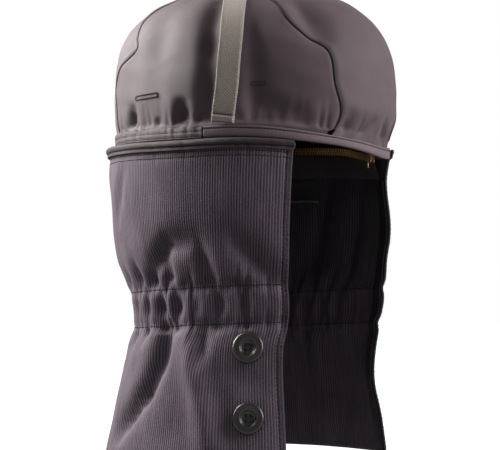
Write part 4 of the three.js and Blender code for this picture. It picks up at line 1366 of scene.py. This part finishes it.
def tuck_depth(bearing, height):
    """Small tucks at the waist's two rows and just below the binding."""
    depth = 0
    at_waist = height - waist_tilt(bearing)
    to_row = np.minimum(np.abs(at_waist - WAIST["upper"]), np.abs(at_waist - WAIST["lower"]))
    to_top = np.abs(height - hang_level(bearing) - BINDING["bottom"])
    for middle, width, deep, reach in curtain_tucks:
        across = bell(turn_between(bearing, middle), width)
        depth = depth + across * deep * (bell(to_row - 1, reach) + 0.3 * bell(to_top, reach))
    return depth


def curtain_radius(bearing, height):
    """The curtain's outer radius, with its waist, pleats, tucks, folds and the left front edge's flare."""
    plain = smooth_curtain(bearing, height)
    spot = place(bearing, plain, height)
    flare = curve_at(CURTAIN["height"], CURTAIN["flare"], height)
    flared = flare * bell(turn_between(bearing, FLARE["bearing"]), FLARE["width"])
    at_waist = height - waist_tilt(bearing)
    on_rows = sum(bell(at_waist - WAIST[row], WAIST["stitch_width"]) for row in ("upper", "lower"))
    gathered = WAIST["pinch"] * on_rows + pleat_depth(bearing, at_waist) + tuck_depth(bearing, height)
    folded = fold_depth(curtain_folds, spot)
    return plain + flared - folded - gathered + UNEVEN * unevenness(curtain_waves, spot)


def hang_level(bearing):
    """The level that the curtain hangs from: the rim's, but higher towards the left front corner."""
    from_corner = turn_between(bearing, -TOP_EDGE)
    shoulder = CORNER["shoulder_rise"] * bell(from_corner, CORNER["shoulder_width"])
    return rim_height(bearing) + CORNER["rise"] * bell(from_corner, CORNER["width"]) + shoulder


def curtain_heights():
    """Heights of the curtain's rows below its top edge."""
    heights = []
    above = CURTAIN["height"][0] - 6
    for height, rows in zip(*CURTAIN_LEVELS.values()):
        heights += np.linspace(above, height, int(rows) + 1)[1:].tolist()
        above = height
    return np.array(heights)


def curtain_grid(columns):
    """Bearings and heights of the curtain's corners, from its right front edge round to its left one."""
    heights = np.append(CURTAIN["height"][0], curtain_heights())
    edges = front_edge(heights)
    share = np.linspace(0, 1, columns)[:, None]
    bearing = mix(edges, 360 - edges, share)
    height = np.broadcast_to(heights, bearing.shape).copy()
    height[:, 0] = hang_level(bearing[:, 0]) + CURTAIN_TOP
    first = height[:, :1]
    top_rows = int(CURTAIN_LEVELS["rows"][0])
    ease = np.linspace(0, 1, top_rows + 1)
    height[:, : top_rows + 1] = mix(first, CURTAIN_LEVELS["height"][0], ease)
    return bearing, height


def neck_curtain():
    """Ribbed cloth with a rolled front edge; its faces draw together at the edges."""
    columns = RIBS * len(RIB_SAMPLES) + 1
    bearing, height = curtain_grid(columns)
    radius = curtain_radius(bearing, height)
    edge = front_edge(height)
    from_edge = np.radians(np.minimum(bearing - edge, 360 - edge - bearing)) * radius
    from_hem = height - CURTAIN_HEM
    wobble = 1 + FRONT_EDGE["roll_wobble"] * unevenness(edge_waves, place(bearing, radius, height))
    roll = FRONT_EDGE["roll"] * wobble * bell(from_edge - FRONT_EDGE["roll_at"], FRONT_EDGE["roll_width"])
    groove = FRONT_EDGE["groove"] * bell(from_edge - FRONT_EDGE["groove_at"], FRONT_EDGE["groove_width"])
    below = height - hang_level(bearing)
    rows = sum(BINDING_ROW["depth"] * bell(below - row, BINDING_ROW["width"]) for row in BINDING_STITCHES)
    half = RIBBED / 2 * quarter_round(np.minimum(from_edge, from_hem) / FRONT_EDGE["round"])
    rib = RIB_HEIGHT * np.resize(RIB_SAMPLES, columns)[:, None] * smooth(from_edge / FRONT_EDGE["plain"] - 1)
    middle = radius - RIBBED / 2
    outer = place(bearing, middle + half + rib + roll - groove - rows, height)
    inner = place(bearing, middle - half - rib, height)
    count = np.broadcast_to((np.arange(columns) / len(RIB_SAMPLES))[:, None], height.shape)
    # the weave's third value, the distance from a front edge, drives the ribbed finish's painted shade along
    # the edges
    weave = np.stack([count, height, from_edge], axis=-1).reshape(-1, 3)
    name = "neck_curtain"
    return wall_piece(f"{name}_cloth", outer, inner, weave, RIBBED_CLOTH, name, crease=85)


def curtain_path(bearing, height, lift):
    return place(bearing, curtain_radius(bearing, height) + lift, height)


def curtain_bearings(stop):
    """Bearings of a row round the curtain that stops short of its front edges."""
    return np.linspace(TOP_EDGE + stop, 360 - TOP_EDGE - stop, ROW_STEPS)


def curtain_stitches():
    """Rows below the binding, the waist's two gathering rows on both faces, and the hem's row."""
    bearings = curtain_bearings(ROW_STOPS["binding"])
    under_binding = []
    for up in BINDING_STITCHES:
        path = curtain_path(bearings, hang_level(bearings) + up, UNDER_BINDING_LIFT)
        under_binding.append(stitch_row(path, outward(bearings), *STITCHES["under_binding"]))
    make_piece("binding_stitches", join(*under_binding), DARK_THREAD)
    bearings = curtain_bearings(ROW_STOPS["waist"])
    out = outward(bearings)
    gathers = []
    for row in (WAIST["upper"], WAIST["lower"]):
        level = row + waist_tilt(bearings)
        for lift, way in ((ROW_LIFT, out), (-RIBBED - ROW_LIFT, -out)):
            gathers.append(stitch_row(curtain_path(bearings, level, lift), way, *STITCHES["waist"]))
    make_piece("waist_gather_stitches", join(*gathers), DARK_THREAD)
    hem = curtain_path(bearings, np.full_like(bearings, CURTAIN_HEM_ROW), ROW_LIFT)
    hem_row = stitch_row(hem, out, *STITCHES["curtain_hem"])
    make_piece("curtain_hem_stitches", hem_row, DARK_THREAD)


def front_edge_stitches():
    """A row of stitches behind each rolled front edge, and loose overcast threads round the roll."""
    heights = np.linspace(FRONT_EDGE["stitched_from"], CURTAIN_HEM + 2, 240)
    edge = front_edge(heights)
    turn = np.degrees(FRONT_EDGE["groove_at"] / smooth_curtain(edge, heights))
    draw = random.Random(17)
    rows, overcast = [], []
    for hand in (1, -1):
        bearing = hand * (edge + turn)
        path = curtain_path(bearing, heights, ROW_LIFT - FRONT_EDGE["groove"])
        rows.append(stitch_row(path, outward(bearing), *STITCHES["front_edge"]))
        for k in range(0, len(heights) - 1, OVERCAST["every"]):
            reach = np.linspace(OVERCAST["start"], draw.uniform(*OVERCAST["end"]), 4)
            step = np.degrees(reach / smooth_curtain(bearing[k], heights[k]))
            level = heights[k] + np.linspace(0, draw.uniform(*OVERCAST["slant"]), 4)
            spots = curtain_path(hand * (edge[k] + step), level, FRONT_EDGE["roll"] + 0.1)
            overcast.append(stitch_row(spots, outward(np.full(4, bearing[k])), *STITCHES["overcast"]))
    make_piece("front_edge_stitches", join(*rows), DARK_THREAD)
    make_piece("front_edge_overcast", join(*overcast), GREY_THREAD)


def curtain_binding():
    """A twill binding: a roll over the curtain's top edge, fuller towards the nape, and a flange below."""
    columns, *section = STRIP_MESH["binding"]
    bearings = mix(TOP_EDGE, 360 - TOP_EDGE, dense_ends(columns))
    tall = BINDING["top"] - BINDING["bottom"]
    up, out = strip_section(tall, 1.0, *section)
    half_roll = (tall - FLANGE["height"]) / 2
    from_middle = np.clip((up - FLANGE["height"] - half_roll) / half_roll, -1, 1)
    roll = 0.5 + 0.5 * np.sqrt(1 - from_middle**2)
    flange = FLANGE["share"] - FLANGE["groove"] * bell(up - FLANGE["height"], 0.4)
    out = np.where(out > 0.5, np.where(up > FLANGE["height"], roll, flange), out)
    towards_nape = (1 - np.cos(np.radians(bearings)))[:, None] / 2
    thickness = mix(BINDING["front_thickness"], BINDING["back_thickness"], towards_nape)
    rings = rim_rings(bearings, up + BINDING["bottom"], thickness * out, binding_seat, hang_level)
    rings = round_ends(rings, BINDING["end_round"])
    piece = strip_piece("curtain_binding_cloth", rings, BINDING_TWILL, "curtain_binding")
    stitched = BINDING["bottom"] + FLANGE["height"] - 0.3
    path = rim_rings(bearings, stitched, thickness * FLANGE["share"], binding_seat, hang_level)[:, 0]
    row = stitch_row(path, outward(bearings), *STITCHES["binding_edge"])
    make_piece("binding_edge_stitches", row, DARK_THREAD)
    return piece


def binding_seat(bearing, height):
    return curtain_radius(bearing, height) + GAP


def front_facing(side, hand):
    """A turned-back facing inside a front edge, with an overcast free edge."""
    columns, rows = PANEL_MESH["facing"]
    heights = np.linspace(FACING_TOP, CURTAIN_HEM + GAP, rows)
    edge = front_edge(heights)
    column = (360 - 2 * edge) / FACING_COLUMN_COUNT
    shares = dense_ends(columns)[:, None]
    bearing = hand * (edge + column * mix(*FACING_COLUMNS, shares))
    height = np.broadcast_to(heights, bearing.shape)
    depth = RIBBED + RIB_HEIGHT + GAP
    radius = curtain_radius(bearing, height) - depth
    thin = TAPE * (0.5 + 0.5 * np.sin(np.pi * shares) ** 0.4)
    outer = place(bearing, radius, height)
    inner = place(bearing, radius - thin, height)
    weave = cloth_weave(outer) / [RIB_PITCH, 1, 1]
    name = f"front_facing_{side}"
    piece = wall_piece(f"{name}_cloth", outer, inner, weave, SHADED_FACING_CLOTH, name)
    threads = zigzag_row(inner[-2], -outward(bearing[-2]), *ZIGZAGS["facing"])
    make_piece(f"{name}_overcast", threads, GREY_THREAD)
    return piece


def inner_label():
    """A plain label, sewn along its top edge, its lower edge hanging free."""
    columns, rows = PANEL_MESH["label"]
    half_turn = np.degrees(LABEL["width"] / 2 / CROWN["side"])
    bearing = (LABEL["bearing"] + np.linspace(-half_turn, half_turn, columns))[:, None]
    down = np.linspace(0, 1, rows)[None, :]
    height = rim_height(bearing) + ZIP["lower_tape_bottom"] - GAP - LABEL["drop"] - LABEL["height"] * down
    curl = LABEL["tilt"] * down**2
    radius = curtain_radius(bearing, height) - RIBBED - 3 * GAP - curl
    outer = place(bearing, radius, height)
    folded = smooth((down - LABEL["fold"]) / 0.05)
    inner = place(bearing, radius - TAPE * mix(0.6, 1, folded), height)
    weave = cloth_weave(outer)
    piece = wall_piece("inner_label_cloth", outer, inner, weave, LABEL_CLOTH, "inner_label")


# Buttons


def button(level):
    """A dished four-hole button, flat on the curtain's outer face."""
    radius, up = BUTTON_SECTION["radius"], BUTTON_SECTION["up"]
    section = curve_through(np.stack([radius, np.zeros_like(up), up], axis=1))
    profile = evenly(section, BUTTON["steps"])[1:-1]
    turns = np.arange(BUTTON["sides"]) * 2 * np.pi / BUTTON["sides"]
    ring = np.stack([np.cos(turns), np.sin(turns), np.zeros_like(turns)], axis=1)
    rings = ring[None] * np.clip(profile[:, 0], 0.05, None)[:, None, None]
    rings[..., 2] = profile[:, 2][:, None]
    facing_up = (np.arange(len(profile)) > len(profile) // 2)[:, None]
    to_hole = np.hypot(*(np.abs(rings[..., k]) - BUTTON["spacing"] for k in (0, 1)))
    hole = 1 - smooth((to_hole - BUTTON["hole"] / 2) / BUTTON["hole_edge"] + 0.5)
    rings[..., 2] -= BUTTON["hole_depth"] * hole * facing_up
    points, faces = tube(rings)
    centre, across, upward, normal = button_seat(BUTTON[level])
    shape = centre + points @ np.stack([across, upward, normal]), faces
    name = f"button_{level}"
    make_piece(f"{name}_disc", shape, BUTTON_PLASTIC, [name], crease=80)


def button_seat(height, reach=6):
    """A button's middle just off the cloth, and its ways across, upward and out."""

    def at(turn, rise):
        bearing = np.array(BUTTON["bearing"] + turn, float)
        level = np.array(height + rise, float)
        return place(bearing, curtain_radius(bearing, level), level)

    across = unit(at(-reach, 0) - at(reach, 0))
    normal = unit(np.cross(across, at(0, reach) - at(0, -reach)))
    normal *= np.sign(normal @ outward(BUTTON["bearing"]))
    upward = unit(np.array([0, 0, 1.0]) - normal * normal[2])
    return at(0, 0) + normal * (BUTTON["lift"] + RIB_HEIGHT), np.cross(upward, normal), upward, normal


def buttonholes():
    """Closed stitched slits on the left flap, level with the buttons."""
    rows = []
    for level in ("upper", "lower"):
        bearing = 360 - BUTTON["bearing"] + np.linspace(-1, 1, 30) * BUTTONHOLE["half_turn"]
        for rise in (-BUTTONHOLE["half_gap"], BUTTONHOLE["half_gap"]):
            path = curtain_path(bearing, np.full(30, BUTTON[level] + rise), BUTTONHOLE["lift"])
            rows.append(stitch_row(path, outward(bearing), *STITCHES["buttonhole"]))
    make_piece("buttonhole_stitches", join(*rows), DARK_THREAD)


# Assembly


def build_cap():
    crown_centre = crown_panel("crown_panel_centre", centre_panel_guides(*PANEL_MESH["centre"]), 0)
    for side, hand in (("right", 1), ("left", -1)):
        panel = crown_panel(f"crown_panel_{side}", side_panel_guides(*PANEL_MESH["side"], hand), 1)
        seam_piping(side, hand)
    crown_strap()
    cap_slot_stitches()
    front_band()
    back_hem()


def build_zip():
    chain_top, chain_bottom = ZIP["chain_top"] - ZIP["clamp"], ZIP["chain_bottom"] + ZIP["clamp"]
    zip_tape("upper", chain_top, ZIP["upper_tape_top"], upper_tape_base, chain_top - 2 * GAP)
    tape = zip_tape("lower", ZIP["lower_tape_bottom"], chain_bottom, lower_tape_base, chain_bottom - 6 * GAP)
    zip_teeth()
    zip_slider()


def build_curtain():
    curtain = neck_curtain()
    trimmings = [curtain_binding()]
    trimmings += [front_facing(side, hand) for side, hand in (("right", 1), ("left", -1))]
    curtain_stitches()
    front_edge_stitches()
    inner_label()
    buttonholes()
    for level in ("upper", "lower"):
        button(level)


# Camera, light and floor


def metres(p):
    return Vector(np.asarray(p, float) * MM)


def camera_way(turn):
    """A level direction from the object, turned from the camera's towards the camera's right."""
    angle = np.radians(CAMERA["turn"] + turn)
    return np.array([np.sin(angle), -np.cos(angle), 0])


def look_at(thing, target):
    thing.rotation_euler = (target - thing.location).to_track_quat("-Z", "Y").to_euler()


def photo_camera():
    data = bpy.data.cameras.new("photo_camera")
    data.sensor_fit = "HORIZONTAL"
    data.sensor_width = SENSOR
    data.lens = FOCAL_PIXELS / IMAGE_WIDTH * SENSOR
    camera = bpy.data.objects.new("photo_camera", data)
    bpy.context.scene.collection.objects.link(camera)
    camera.location = metres(camera_way(0) * CAMERA["distance"] + [0, 0, CAMERA["height"]])
    look_at(camera, metres(camera_way(90) * CAMERA["aim_right"] + [0, 0, CAMERA["aim_height"]]))
    bpy.context.scene.camera = camera


def soft_box(name, turn, distance, height, size, power, colour):
    data = bpy.data.lights.new(name, "AREA")
    data.shape = "RECTANGLE"
    data.size, data.size_y = size
    data.energy = power
    data.color = colour
    light = bpy.data.objects.new(name, data)
    bpy.context.scene.collection.objects.link(light)
    light.location = metres(camera_way(turn) * distance + [0, 0, height])
    light.light_linking.receiver_collection = lit_pieces
    light.visible_camera = False
    look_at(light, metres([0, 0, CAMERA["aim_height"]]))


def white_world():
    """White where the camera sees it, and a dim surround, brighter above, that lights the cloth."""
    world = bpy.data.worlds.new("white_world")
    world.use_nodes = True
    nodes = Nodes(world.node_tree)
    direction = nodes.node("TexCoord", {}, {})
    upward = nodes.node("SeparateXYZ", {}, {0: direction}, output=2)
    surround = nodes.blend(shade(*SURROUND["below"]), shade(*SURROUND["above"]), upward.step_up(-0.5, 0.8))
    seen = nodes.node("LightPath", {}, {})
    nodes.feed(nodes.tree.nodes["Background"].inputs["Color"], nodes.blend(surround, shade(1, 1, 1), seen))
    bpy.context.scene.world = world


def studio():
    scene = bpy.context.scene
    scene.view_settings.view_transform = "Standard"
    white_world()
    for box in SOFT_BOXES:
        soft_box(*box)
    floor_mesh = bpy.data.meshes.new("pale_floor")
    corners = [(x * FLOOR_HALF, y * FLOOR_HALF, FLOOR) for x, y in ((-1, -1), (1, -1), (1, 1), (-1, 1))]
    floor_mesh.from_pydata([metres(corner) for corner in corners], [], [(0, 1, 2, 3)])
    floor_mesh.materials.append(floor_finish())
    floor = bpy.data.objects.new("pale_floor", floor_mesh)
    floor.visible_diffuse = False
    scene.collection.objects.link(floor)


photo_camera()
build_cap()
build_zip()
build_curtain()
studio()
